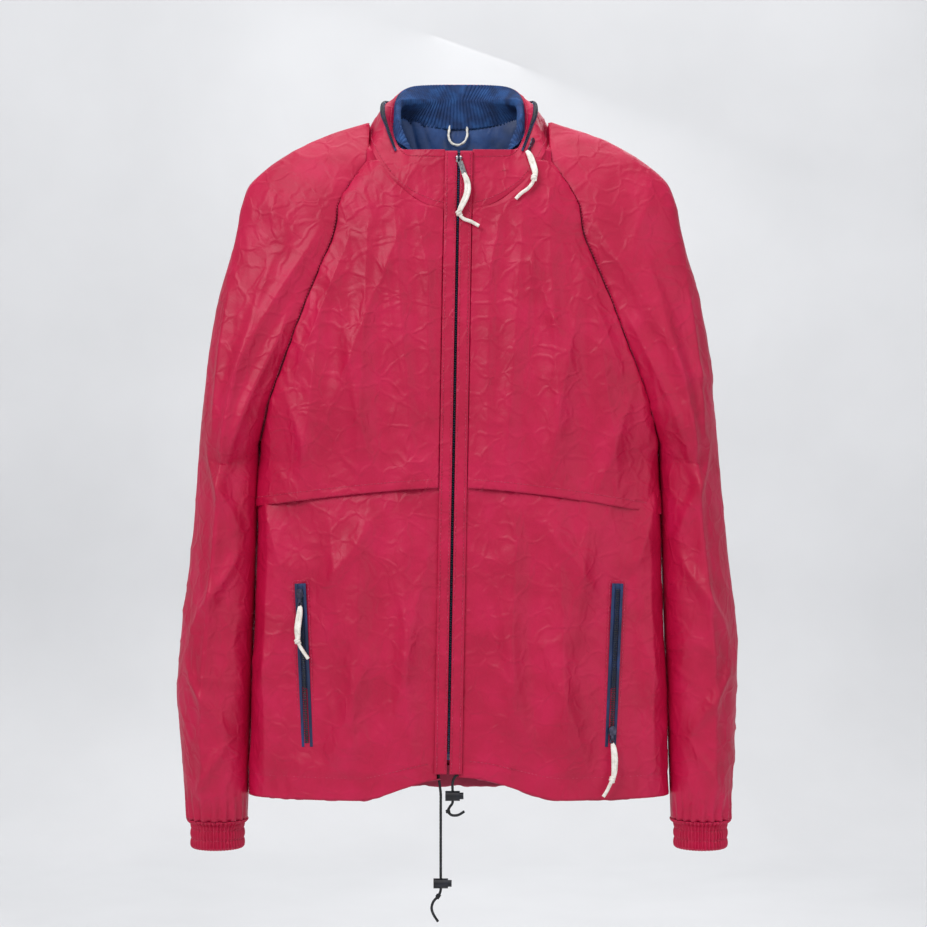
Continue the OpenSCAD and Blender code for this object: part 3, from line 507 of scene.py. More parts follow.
@dataclass(frozen=True)
class Cut:
    """The sizes that the jacket was cut to, in millimetres, as the CAD has them."""

    chest_half: float = 222.0
    hem_half: float = 236.0
    neck_half: float = 100.0
    front_depth: float = 62.0
    back_depth: float = 50.0
    raglan_top: float = -44.0
    shoulder_z: float = -95.0
    armpit_z: float = -356.0
    hem_z: float = -748.0
    hem_rise: float = 26.0
    shoulder_half: float = 244.0
    sleeve_z: float = -776.0
    sleeve_out: float = 66.0
    sleeve_depth: float = 44.0
    cuff_height: float = 33.0
    cuff_gather: float = 5.0
    zip_top: float = -36.0
    zip_bottom: float = -702.0
    zip_lean: float = 1.0
    channel_half: float = 12.0
    round_power: float = 2.6

    def depth(self, face: Face) -> float:
        """How far a face stands from the side seams."""
        return self.front_depth if face is Face.FRONT else self.back_depth

    def zip_x(self, z: Array) -> Array:
        """Where the leaning front zip is at a height."""
        return (z - self.zip_top) * np.tan(np.radians(self.zip_lean))

    def raglan_x(self, z: Array) -> Array:
        """Half width at the raglan seam above the underarm, before the shoulder's arc."""
        share = np.clip((self.raglan_top - z) / (self.raglan_top - self.armpit_z), 0, 1)
        return mix(self.neck_half, self.chest_half, np.interp(
            share, (0, 0.083, 0.163, 0.34, 0.5, 0.85, 1), (0, 0.16, 0.27, 0.385, 0.56, 0.9, 1)))

    def seam_x(self, z: Array) -> Array:
        """Half width at the seam: the raglan seam kept outside the arc round the shoulder, then the side seam."""
        pivot = self.shoulder_half + 1
        reach = pivot - self.raglan_x(np.array(self.shoulder_z))
        arc = pivot - np.sqrt(np.maximum(reach**2 - (z - self.shoulder_z) ** 2, 0))
        upper = np.where(z > self.shoulder_z, self.raglan_x(z), np.minimum(self.raglan_x(z), arc))
        side = mix(self.chest_half, self.hem_half, (self.armpit_z - z) / (self.armpit_z - self.hem_z))
        return np.where(z > self.armpit_z, upper, side)

    def seam_y(self, z: Array, face: Face) -> Array:
        """How far the seam stands from the side plane: none at the side seam, most at the chest."""
        share = eased(z - self.armpit_z, ((-20, 0), (0, 0.25), (45, 0.62), (155, 0.85), (250, 0.82),
                                          (312, 0.6), (360, 0.1)))
        return 0.3 + self.depth(face) * share

    def neck_x(self, z: Array) -> Array:
        """Where the neck seam cuts the front away at a height."""
        return self.neck_half / 100 * eased(z, ((-101, 0), (-95, 34), (-80, 58), (-60, 78), (-44, 88)))

    def hem_lift(self, x: Array, z: Array) -> Array:
        """Lifts the front hem round the zip by (1 - (x/108)^2)^1.7, fading out 100 mm above the hem."""
        return (self.hem_rise * np.maximum(0, 1 - (np.abs(x) / 108) ** 2) ** 1.7
                * np.clip((self.hem_z + 100 - z) / 100, 0, 1))

    def on_body(self, sign: Array | float, across: Array, z: Array, face: Face, inset: Array | float) -> Array:
        """A place on the body's cloth.

        Across the body the cloth is a superellipse, depth·(1 - across^2.6)^(1/2.6), set on the seam's own depth.

        Args:
            sign: 1 on the wearer's left, -1 on the right.
            across: Share of the way from the centre to the seam.
            z: Height.
            face: Front or back.
            inset: How far the place is moved in from the outer cloth.
        """
        across = np.clip(across, 0, 1)
        edge = self.seam_y(z, face)
        inner = np.maximum(edge - inset, 0.3)
        squeeze = np.clip(1 - edge / 8, 0, 1)
        x = across * (self.seam_x(z) - 0.5 - inset * squeeze)
        round_y = (1 - across**self.round_power) ** (1 / self.round_power)
        y = face.value * (inner + (self.depth(face) - inset - inner) * round_y)
        lift = self.hem_lift(x, z) if face is Face.FRONT else 0.0
        return np.stack(np.broadcast_arrays(sign * x, y, z + lift), axis=-1)

    def tip_x(self, z: Array) -> Array:
        """Half width of the whole jacket: the shoulder line, then the sleeve's outer edge."""
        above = mix(self.neck_half, self.shoulder_half, eased((4 - z) / (4 - self.shoulder_z), (
            (0, 0.04), (0.12, 0.3), (0.34, 0.6), (0.53, 0.79), (0.75, 0.94), (1, 1))))
        down = (self.shoulder_z - z) / (self.shoulder_z - self.sleeve_z)
        below = self.shoulder_half + self.sleeve_out * eased(down, (
            (0, 0), (0.06, 0.09), (0.15, 0.29), (0.38, 0.61), (0.52, 0.74), (0.8, 1), (1, 0.93)))
        return np.where(z > self.shoulder_z, above, below)

    def sleeve_bulge(self, z: Array) -> Array:
        """How far a sleeve's own roundness stands out at a height."""
        return self.sleeve_depth * eased(z - self.armpit_z, (
            (-420, 0.72), (-370, 0.86), (-60, 1), (0, 0.92), (50, 0.55), (155, 0.18), (360, 0.08)))

    def on_sleeve(self, sign: float, way: Array, z: Array, gap: Array | float, inset: float) -> Array:
        """A place on a sleeve.

        Its section is a half ellipse out of the seam on each face, with the seam's depth added to it.

        Args:
            sign: 1 on the wearer's left, -1 on the right.
            way: Share of the way round from the back seam over the outside to the front seam.
            z: Height.
            gap: Gap beside the body.
            inset: How far the place is moved in from the outer cloth.
        """
        way = np.clip(way, 0, 1)
        back = way < 0.5
        turn = 2 * np.pi * np.where(back, way, 1 - way)
        face = np.where(back, 1.0, -1.0)
        rise = np.where(back, self.seam_y(z, Face.BACK), self.seam_y(z, Face.FRONT))
        inner = self.seam_x(z) + gap
        half = (self.tip_x(z) - inner) / 2
        closed = np.clip(1 - rise / 8, 0, 1)
        flat = np.maximum(1 - (turn / np.pi) ** 3, 0) ** (1 / 3)
        x = inner + half - half * np.cos(turn) + inset * np.cos(turn) * np.where(turn < np.pi / 2, closed, 1)
        y = (self.sleeve_bulge(z) * np.sin(turn) + rise * flat
             - inset * np.clip(np.sin(turn) + flat * (1 - closed), 0, 1))
        return np.stack(np.broadcast_arrays(sign * x, face * np.maximum(y, 0.3 * flat), z), axis=-1)


CUT = Cut()
CLOTH = 0.9


class Surface:
    """A sheet of cloth: a base shape of two shares, moved along its own normal by its drape."""

    outward = 1.0

    def base(self, u: Array, v: Array) -> Array:
        """The place of the flat cloth at shares u across and v down."""
        raise NotImplementedError

    def drape(self, points: Array, u: Array, v: Array) -> Array:
        """How far folds and creases lift the cloth at each place."""
        return np.zeros(u.shape)

    def normal(self, u: Array, v: Array) -> Array:
        """The outward normal of the undraped cloth: the cross product of its two central differences."""
        right = self.base(np.clip(u + STEP, 0, 1), v) - self.base(np.clip(u - STEP, 0, 1), v)
        below = self.base(u, np.clip(v + STEP, 0, 1)) - self.base(u, np.clip(v - STEP, 0, 1))
        return self.outward * unit(np.cross(right, below))

    def at(self, u: Array | float, v: Array | float, lift: Array | float = 0.0) -> Array:
        """The draped cloth: base + normal·(drape + lift)."""
        u, v = np.broadcast_arrays(np.asarray(u, float), np.asarray(v, float))
        points = self.base(u, v)
        return points + self.normal(u, v) * (self.drape(points, u, v) + lift)[..., None]

    def cloth(self, name: str, cols: int, rows: int, thick: float = CLOTH, ring: bool = False) -> bpy.types.Object:
        """A closed thin wall of this cloth, thickened inwards along the draped grid's own normals."""
        u, v = np.meshgrid(np.linspace(0, 1, cols, endpoint=not ring), np.linspace(0, 1, rows))
        outer = self.at(u, v)
        wide = np.concatenate([outer[:, -1:], outer, outer[:, :1]], axis=1) if ring else outer
        right = np.gradient(wide, axis=1)[:, 1:-1] if ring else np.gradient(wide, axis=1)
        normal = self.outward * unit(np.cross(right, np.gradient(outer, axis=0)))
        return shell(name, outer, outer - thick * normal, ring)

    def seam(self, name: str, u: Array | float, v: Array | float, lift: float = 0.2, length: float = 3.0,
             gap: float = 1.1, thread: float = 0.34) -> bpy.types.Object:
        """A row of stitches along a line of shares on this cloth."""
        u, v = np.broadcast_arrays(np.asarray(u, float), np.asarray(v, float))
        path = self.at(u, v, lift)
        count = len(along(path, length + gap)) - 1
        near = np.linspace(0, len(u) - 1, count).round().astype(int)
        return stitch_row(name, path, self.normal(u, v)[near], length, gap, thread)


# ---------------------------------------------------------------- cloth pieces


def total(folds: Sequence[Fold], x: Array, z: Array) -> Array:
    """The height of several folds together."""
    return 2.2 * sum(fold.rise(x, z) for fold in folds)


def pocket_middle(z: Array) -> Array:
    """Distance of a pocket's slanting middle line from the centre at a height."""
    return POCKET.middle + POCKET.slant * (z - POCKET.height) / POCKET.length


@dataclass(frozen=True)
class PocketPlace:
    """Where a pocket's welt lies on the front."""

    middle: float = 171.0
    height: float = -600.0
    length: float = 180.0
    width: float = 13.0
    slant: float = 8.0


POCKET = PocketPlace()


@dataclass(frozen=True)
class FrontPanel(Surface):
    """Half of the front: from beside the zip to the seam, calm at the pocket and tucked in under the flap."""

    side: Side
    start: float = 12.0
    reach: float = 1.0
    top: float = -44.0
    bottom: float = -748.0
    stand: float = 0.0
    seed: int = 3
    folds: tuple[Fold, ...] = (
        Fold((62, -425), (54, -742), 15, 3.6), Fold((106, -425), (120, -746), 18, 4.6),
        Fold((208, -430), (214, -746), 13, 3.4), Fold((86, -430), (150, -520), 12, 2.6),
        Fold((142, -428), (128, -570), 14, 3.2), Fold((28, -440), (78, -700), 11, 2.2),
        Fold((222, -380), (188, -520), 11, 2.8), Fold((88, -560), (148, -730), 12, 2.4),
        Fold((196, -560), (222, -640), 10, 2.0))

    @property
    def outward(self) -> float:
        """The base runs from the centre outwards, so its normal turns over with the side."""
        return -float(self.side.value)

    def heights(self, u: Array, v: Array) -> Array:
        """The height of the cloth at its shares."""
        return mix(self.top, self.bottom, v) + 0 * u

    def base(self, u: Array, v: Array) -> Array:
        """Runs by the sine of u from the zip, or the neck seam, to the side seam."""
        z = self.heights(u, v)
        near = np.maximum(self.start + self.side.value * CUT.zip_x(z), CUT.neck_x(z)) / (CUT.seam_x(z) - 0.5)
        across = mix(near, self.reach, np.sin(np.pi / 2 * u))
        return CUT.on_body(self.side.value, across, z, Face.FRONT, -self.stand)

    def free(self, points: Array) -> Array:
        """1 where the cloth may fold and 0 round the pocket, whose welt keeps it flat."""
        x, z = np.abs(points[..., 0]), points[..., 2]
        beside = ramp(np.abs(x - pocket_middle(z)), 9, 26)
        beyond = ramp(np.abs(z - POCKET.height), POCKET.length / 2 + 2, POCKET.length / 2 + 22)
        return np.maximum(beside, beyond)

    def drape(self, points: Array, u: Array, v: Array) -> Array:
        """Folds and creases below the flap, gathers at the hem's channel, and a 3 mm tuck under the flap."""
        x, z = points[..., 0] * self.side.value, points[..., 2]
        showing = ramp(-z, 388, 424)
        edges = ramp(u, 0, 0.05) * ramp(1 - u, 0, 0.05)
        folds = total(self.folds, x, z) + 1.2 * noise(points, 90, self.seed) + crinkle(points, self.seed)
        low = ramp(-z, 716, 726)
        gathers = 1.1 * noise(points * (1, 0.2, 0.2), 8, self.seed + 5) * low
        groove = -0.7 * np.exp(-(((z - CUT.hem_z - 25 - CUT.hem_lift(x, z)) / 1.4) ** 2))
        lift = np.maximum(folds * mix(1.0, 0.55, low) + gathers, -0.9) * edges * self.free(points)
        return mix(-3.0 * ramp(u, 0, 0.08), lift + groove, showing)


@dataclass(frozen=True)
class Cape(FrontPanel):
    """Half of the storm cape: the yoke and the flap below it, one cloth down to a stitched free hem."""

    start: float = 15.7
    reach: float = 0.997
    stand: float = 1.8
    seed: int = 31
    hem_centre: float = -405.0
    hem_fall: float = 18.0
    folds: tuple[Fold, ...] = (
        Fold((72, -78), (50, -402), 12, 2.4), Fold((98, -92), (112, -408), 15, 3.0),
        Fold((136, -170), (94, -404), 13, 2.7), Fold((150, -205), (176, -415), 14, 3.2),
        Fold((58, -105), (150, -340), 10, 1.9), Fold((192, -295), (150, -412), 12, 2.6),
        Fold((34, -150), (30, -400), 9, 1.4), Fold((120, -130), (186, -300), 9, 2.0),
        Fold((84, -130), (70, -260), 8, 1.6), Fold((46, -104), (30, -190), 8, 1.6))

    def heights(self, u: Array, v: Array) -> Array:
        """The hem falls from the centre to the side."""
        return mix(self.top, self.hem_centre - self.hem_fall * np.sin(np.pi / 2 * u) ** 1.4, v)

    def drape(self, points: Array, u: Array, v: Array) -> Array:
        """Drag folds from the neck and seam, a turned hem 9 mm deep, and a light flare towards its free edge."""
        x, z = points[..., 0] * self.side.value, points[..., 2]
        above = z - self.heights(u, np.ones_like(u))
        edges = mix(0.15, 1.0, ramp(u, 0, 0.07)) * ramp(1 - u, 0, 0.05) * ramp(v, 0.0, 0.05)
        folds = total(self.folds, x, z) + 0.9 * noise(points, 80, self.seed) + crinkle(points, self.seed)
        band = 0.5 * ramp(9.5 - above, 0, 1.2) - 0.6 * np.exp(-(((above - 8.6) / 1.0) ** 2))
        flare = (1.3 + 1.1 * noise(points * (1, 0, 0), 46, self.seed + 9)) * ramp(70 - above, 0, 70)
        pucker = 0.45 * noise(points * (1, 0.2, 1), (14, 60, 7), self.seed + 3) * ramp(1 - u, 0.01, 0.04) * ramp(
            0.16 - (1 - u), 0, 0.1)
        return np.maximum(folds, -0.2) * edges + (band + flare) * ramp(1 - u, 0, 0.03) + pucker


@dataclass(frozen=True)
class FrontLining(FrontPanel):
    """The front's lining, hanging loose behind the outer cloth."""

    start: float = 20.0
    reach: float = 0.99
    top: float = -112.0
    bottom: float = -718.0
    stand: float = -5.8
    seed: int = 61

    def drape(self, points: Array, u: Array, v: Array) -> Array:
        """Shallow creases that stay clear of the outer cloth."""
        return (np.minimum(crinkle(points, self.seed) - 0.8, 0.4)) * ramp(u, 0, 0.05) * ramp(1 - u, 0, 0.05)


@dataclass(frozen=True)
class BackPanel(Surface):
    """The back, from seam to seam."""

    top: float = 7.0
    bottom: float = -748.0
    stand: float = 0.0
    seed: int = 41
    folds: tuple[Fold, ...] = (
        Fold((4, -40), (8, -742), 24, 3.6), Fold((82, -60), (98, -745), 20, 4.2),
        Fold((-90, -70), (-78, -745), 21, 4.2), Fold((150, -220), (168, -745), 17, 3.8),
        Fold((-162, -230), (-150, -745), 18, 3.8), Fold((62, -30), (-30, -300), 18, 2.2),
        Fold((-70, -40), (10, -330), 16, 2.0), Fold((200, -380), (206, -740), 13, 3.0),
        Fold((-204, -370), (-198, -740), 13, 3.0), Fold((40, -400), (46, -740), 14, 2.8),
        Fold((-44, -380), (-36, -742), 14, 2.8))

    def base(self, u: Array, v: Array) -> Array:
        """Runs by the sine of the turn from the wearer's right seam to the left, under a top cut to the neck."""
        turn = np.sin(np.pi / 2 * (2 * u - 1))
        climb = eased(np.abs(turn), ((0, 0), (0.5, 4.5), (0.7, 8.5), (0.9, 8), (0.97, 0), (1, -11)))
        return CUT.on_body(np.sign(turn), np.abs(turn), mix(self.top + climb, self.bottom, v), Face.BACK, -self.stand)

    def drape(self, points: Array, u: Array, v: Array) -> Array:
        """Long folds from the shoulders, creases, and gathers at the hem's channel."""
        x, z = points[..., 0], points[..., 2]
        edges = ramp(u, 0, 0.03) * ramp(1 - u, 0, 0.03) * ramp(v, 0, 0.04)
        low = ramp(-z, 716, 726)
        gathers = 1.1 * noise(points * (1, 0.2, 0.2), 8, self.seed + 5) * low
        folds = total(self.folds, x, z) + 1.2 * noise(points, 90, self.seed) + crinkle(points, self.seed)
        groove = -0.7 * np.exp(-(((z - CUT.hem_z - 25) / 1.4) ** 2))
        return np.maximum(folds * mix(1.0, 0.55, low) + gathers, -0.9) * edges + groove


@dataclass(frozen=True)
class BackLining(BackPanel):
    """The back's lining, which shows through the neck."""

    top: float = 10.0
    bottom: float = -718.0
    stand: float = -5.8
    seed: int = 71

    def drape(self, points: Array, u: Array, v: Array) -> Array:
        """Creases that stay clear of the outer cloth, deeper near the neck."""
        depth = 1 + 0.9 * ramp(points[..., 2], -200, -40)
        return np.minimum(depth * (crinkle(points, self.seed) - 1.1), 0.3) * ramp(u, 0, 0.03) * ramp(1 - u, 0, 0.03)


@dataclass(frozen=True)
class HemFacing(Surface):
    """The hem's inner layer: down behind the cord channel and back under it to the outer cloth."""

    face: Face
    sign: float = 0.0
    depth: float = 5.9
    height: float = 24.0
    outer: FrontPanel | BackPanel | None = None

    @property
    def outward(self) -> float:
        """The front halves turn over with their side."""
        return 1.0 if self.face is Face.BACK else -self.sign

    def base(self, u: Array, v: Array) -> Array:
        """A straight fall for v up to 0.7, then half a turn outwards under the channel."""
        under = np.clip((v - 0.7) / 0.3, 0, 1)
        z = CUT.hem_z + mix(self.height, 0.6, np.clip(v / 0.7, 0, 1)) - 1.5 * np.sin(np.pi * under)
        inset = mix(self.depth, 1.3, (1 - np.cos(np.pi * under)) / 2)
        if self.face is Face.BACK:
            turn = np.sin(np.pi / 2 * (2 * u - 1))
            return CUT.on_body(np.sign(turn), np.abs(turn), z, self.face, inset)
        across = mix(20 / CUT.hem_half, 0.97, np.sin(np.pi / 2 * u))
        return CUT.on_body(self.sign, across, z, self.face, inset)

    def drape(self, points: Array, u: Array, v: Array) -> Array:
        """Follows the outer cloth at the hem."""
        return self.outer.drape(points, u, np.full_like(v, 0.99))


@dataclass(frozen=True)
class Sleeve(Surface):
    """A raglan sleeve: the shoulder above and the arm below in one cloth, gathered into its cuff."""

    side: Side
    seed: int = 21
    girth: float = 300.0
    folds: tuple[Fold, ...] = (
        Fold((72, -150), (60, -752), 10, 4.6, 0.6), Fold((112, -120), (58, -310), 12, 3.2),
        Fold((118, -210), (70, -400), 10, 2.8), Fold((34, -360), (100, -455), 9, 3.2),
        Fold((98, -480), (34, -570), 9, 3.2), Fold((30, -600), (96, -680), 8, 2.8),
        Fold((92, -690), (40, -755), 8, 2.4), Fold((6, -130), (-4, -740), 15, 3.0),
        Fold((-72, -150), (-60, -745), 13, 4.2), Fold((-34, -380), (-98, -470), 9, 3.0),
        Fold((-96, -520), (-36, -610), 9, 2.8), Fold((26, -20), (84, -150), 10, 2.2),
        Fold((-26, -20), (-80, -150), 10, 2.2), Fold((30, -180), (46, -350), 9, 2.2))

    @property
    def outward(self) -> float:
        """The way round runs from back to front on both sides."""
        return float(self.side.value)

    def base(self, u: Array, v: Array) -> Array:
        """The sleeve's section at the height that v gives."""
        z = mix(4.0, CUT.sleeve_z, v)
        gap = 0.5 + 0.7 * ramp(-z, 90, 110)
        return CUT.on_sleeve(self.side.value, u, z, gap, 0.0)

    def drape(self, points: Array, u: Array, v: Array) -> Array:
        """Folds by the distance round the sleeve, creases, raglan puckers and the gathers above the cuff."""
        z = points[..., 2]
        round_arm = (u - 0.5) * self.girth
        seam = np.minimum(u, 1 - u)
        edges = ramp(seam, 0.0, mix(0.05, 0.13, ramp(-z, 330, 380)))
        folds = total(self.folds, round_arm, z) + 2.2 * noise(points, (70, 70, 110), self.seed)
        high = mix(0.5, 1.0, ramp(-z, 40, 160))
        pleats = 1.5 * np.sin(2 * np.pi * 19 * u + 1.4 * noise(points, 24, self.seed + 4)) * ramp(-z, 728, 772)
        pucker = 0.6 * noise(points * (1, 0.2, 1), (14, 60, 7), self.seed + 3) * ramp(seam, 0.012, 0.03) * ramp(
            0.14 - seam, 0, 0.09) * ramp(-z, 20, 60) * ramp(z, -380, -340)
        body = (folds + 1.15 * crinkle(points, self.seed)) * high * mix(1.0, 0.35, ramp(-z, 745, 774))
        return np.maximum(body, -2.5) * edges + (pucker + pleats * edges)


@dataclass(frozen=True)
class Cuff(Surface):
    """An elastic cuff: a band whose cloth puffs between rows of stitching and gathers into fine pleats."""

    side: Side
    seed: int = 81
    pleats: int = 46
    outward = -1.0

    def base(self, u: Array, v: Array) -> Array:
        """An ellipse that flares to the sleeve's end at its top."""
        low = np.array(CUT.sleeve_z)
        inner, outer = CUT.seam_x(low) + 1.2, CUT.tip_x(low)
        flare = CUT.cuff_gather * ramp(0.16 - v, 0.0, 0.14)
        turn = 2 * np.pi * u
        return np.stack([
            self.side.value * (inner + outer) / 2 + ((outer - inner) / 2 - CUT.cuff_gather + flare) * np.cos(turn),
            (CUT.sleeve_bulge(low) - CUT.cuff_gather + flare) * np.sin(turn),
            CUT.sleeve_z - 0.4 - v * CUT.cuff_height + 0 * u], axis=-1)

    def drape(self, points: Array, u: Array, v: Array) -> Array:
        """Pleats as the sine of the turn, puffs between three stitch rows, and a rounded lower edge."""
        sway = 1.3 * noise(np.stack([np.cos(2 * np.pi * u), np.sin(2 * np.pi * u), v * 0.8], -1), 0.4, self.seed)
        pleat = 1.0 * np.sin(2 * np.pi * self.pleats * u + sway)
        puff = 1.1 * np.abs(np.sin(np.pi * 3 * np.clip(v, 0, 1))) ** 0.6
        return pleat * mix(0.7, 1.0, puff) + puff - 0.8 * ramp(v, 0.95, 1.0)


@dataclass(frozen=True)
class Collar(Surface):
    """The stand collar, lofted from the neck seam over the hood's bulge to its top edge.

    u runs round from the wearer's left front over the back to the right, and v runs down from the top edge.
    """

    front_turn: float = 6.2
    scale: float = 1.01
    bulge: float = -4.0
    edge: float = 0.0
    zip_radius: float = 90.0
    top_half: float = 73.0
    top_back: float = 58.0
    low_share: float = -0.012
    high_share: float = 1.0
    raised: float = 0.0
    seed: int = 51
    crease: float = 0.75
    outward = -1.0

    def neck_ring(self, turn: Array) -> Array:
        """The neck seam: a tilted oval that lies on the body's cloth."""
        x = self.scale * CUT.neck_half * np.sin(turn)
        climb = 36 + 12 * np.clip(-3 * np.cos(turn), 0, 1)
        z = -46 - 55 * np.cos(turn) + climb * np.sin(turn) ** 2
        level = np.minimum(z, -4)
        across = np.minimum(np.abs(x) / CUT.seam_x(level), 1)
        round_y = (1 - across**CUT.round_power) ** (1 / CUT.round_power)
        sides = []
        for face in Face:
            edge = CUT.seam_y(level, face)
            sides.append(edge + (CUT.depth(face) - edge) * round_y)
        depth = np.where(np.cos(turn) > 0, sides[0], sides[1])
        return np.stack([x, -np.clip(3 * np.cos(turn), -1, 1) * self.scale * depth, z], axis=-1)

    def bulge_ring(self, turn: Array) -> Array:
        """The collar's widest line, where its zip lies: an ellipse that climbs from the front to the back."""
        reach = self.zip_radius + self.bulge
        return np.stack([reach * np.sin(turn),
                         np.maximum(-CUT.front_depth - 0.28 * min(self.bulge, 0), -8 - reach * 0.8 * np.cos(turn)),
                         eased(np.degrees(turn), ((0, -62), (40, -56), (52, -38), (62, -18), (76, 6), (92, 22),
                                                  (112, 31), (145, 36), (180, 38)))], axis=-1)

    def top_ring(self, turn: Array) -> Array:
        """The top edge: a rounded oval, low in front and high behind."""
        c, s = np.cos(turn), np.sin(turn)
        y = np.where(c > 0, -(CUT.front_depth + min(self.edge, 0)) * np.maximum(c, 0) ** 0.6,
                     (50 + self.edge) * np.maximum(-c, 0) ** 0.6)
        return np.stack([(self.top_half + self.edge) * np.maximum(s, 0) ** 0.7, y,
                         eased(y, ((-62, -34), (-48, -32), (-28, -16), (0, 14), (38, self.top_back - 7),
                                   (50, self.top_back)))], axis=-1)

    def base(self, u: Array, v: Array) -> Array:
        """Rises by the sine of the share to the bulge, then by its 1.3 power to the top edge."""
        turn = np.radians(mix(self.front_turn, 360 - self.front_turn, u))
        sign = np.where(turn > np.pi, -1.0, 1.0)
        turn = np.where(turn > np.pi, 2 * np.pi - turn, turn)
        share = mix(self.high_share, self.low_share, v)[..., None]
        low, wide, top = self.neck_ring(turn), self.bulge_ring(turn), self.top_ring(turn)
        rise = np.sin(np.pi * np.minimum(share, 0.5))
        over = np.maximum(2 * share - 1, 0) ** 1.3
        points = np.where(share < 0.5, mix(low, wide, rise), mix(wide, top, over))
        return points * np.stack([sign, np.ones_like(u), np.ones_like(u)], -1) + np.array([0, 0, self.raised])

    def drape(self, points: Array, u: Array, v: Array) -> Array:
        """Creases and soft folds, calm along the zip, the edges and the front ends."""
        share = mix(self.high_share, self.low_share, v)
        behind = ramp(np.minimum(u, 1 - u), 0.1, 0.15)
        calm = 1 - behind * np.exp(-(((share - 0.5) / 0.13) ** 2))
        ends = ramp(np.minimum(u, 1 - u), 0, 0.02) * ramp(v, 0, 0.12) * ramp(1 - v, 0, 0.06)
        soft = crinkle(points, self.seed) + 1.3 * noise(points, (34, 34, 22), self.seed)
        band = 0.4 * ramp(0.13 - v, 0, 0.03) - 0.4 * np.exp(-(((v - 0.12) / 0.012) ** 2))
        return self.crease * (soft * ends * calm + band)


@dataclass(frozen=True)
class RibbedLining(Collar):
    """The collar's rib-knit lining, with a rib every few millimetres."""

    front_turn: float = 12.0
    scale: float = 0.9
    bulge: float = -22.0
    edge: float = -2.2
    ribs: int = 118
    low_share: float = -0.05
    seed: int = 55

    def drape(self, points: Array, u: Array, v: Array) -> Array:
        """Ribs as a sharpened cosine of the way round, over a slow sway of the knit."""
        sway = 0.5 * noise(points, 40, self.seed)
        rib = np.abs(np.cos(np.pi * self.ribs * u + sway)) ** 1.4
        return -1.3 * rib - 1.2 - 1.4 * ramp(v, 0.02, 0.2) + 0.8 * noise(points, 38, self.seed + 2)


@dataclass(frozen=True)
class ArmholeWeb(Surface):
    """A short length of the cloth under the arm, folded away in the seam.

    u crosses the seam from the body to the sleeve, and v runs down a stretch of it.
    """

    side: Side
    face: Face
    high: float
    low: float
    overlap: float = 3.4
    depth: float = 1.6

    @property
    def outward(self) -> float:
        """Front and back, left and right each turn the base over."""
        return float(self.side.value * self.face.value)

    def base(self, u: Array, v: Array) -> Array:
        """A strip that follows the seam, just inside the cloth on both sides of it."""
        z = mix(self.high, self.low, v)
        x = CUT.seam_x(z) + 0.4 + mix(-self.overlap, self.overlap, u)
        y = np.maximum(CUT.seam_y(z, self.face) - self.depth, 0.3)
        return np.stack(np.broadcast_arrays(self.side.value * x, self.face.value * y, z), axis=-1)


# ---------------------------------------------------------------- sub-assemblies


LEAN = float(np.tan(np.radians(CUT.zip_lean)))


def weld_blend(piece: bpy.types.Object, slot: str, finish: Finish, bodies: tuple[str, str], start: Sequence[float],
               end: Sequence[float], *nodes: str) -> bpy.types.Object:
    """Dresses a cloth that crosses a joint and bakes its place into its mesh; start and end are in metres and are not
    used.
    """
    WARDROBE.dress(piece, finish)
    if nodes:
        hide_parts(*nodes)
    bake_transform(piece)
    log.info("%s: %d faces between %s and %s", piece.name, len(piece.data.polygons), *bodies)
    return piece


def stitched(piece: bpy.types.Object, body: str, thread: Finish = CRIMSON_THREAD,
             slot: str = "crimson_nylon") -> bpy.types.Object:
    """Dresses a row of stitches and rides it."""
    return fit(piece, body, slot, thread)


def bar(name: str, x: tuple[float, float], y: tuple[float, float], z: tuple[float, float], rows: int = 160,
        wave: float = 0.0, seed: int = 1) -> bpy.types.Object:
    """A long strip with rounded edges that leans with the front zip.

    Its section is a superellipse of power 5 in x and y, carried down z and swayed by noise.
    """
    turn = 2 * np.pi * np.arange(28) / 28
    down = np.linspace(z[1], z[0], rows)[:, None]
    c, s = np.cos(turn), np.sin(turn)
    across = (x[0] + x[1]) / 2 + (x[1] - x[0]) / 2 * np.sign(c) * np.abs(c) ** 0.4 + 0 * down
    deep = (y[0] + y[1]) / 2 + (y[1] - y[0]) / 2 * np.sign(s) * np.abs(s) ** 0.4 + 0 * down
    rings = np.stack(np.broadcast_arrays(across + (down - CUT.zip_top) * LEAN, deep, down), axis=-1)
    sway = wave * noise(np.stack(np.broadcast_arrays(across * 0.4, down, 0 * down), -1), 26, seed)
    rings[..., 1] += sway * np.clip((rings[..., 1] - y[1]) / (y[0] - y[1]), 0, 1)
    return loft(name, rings)


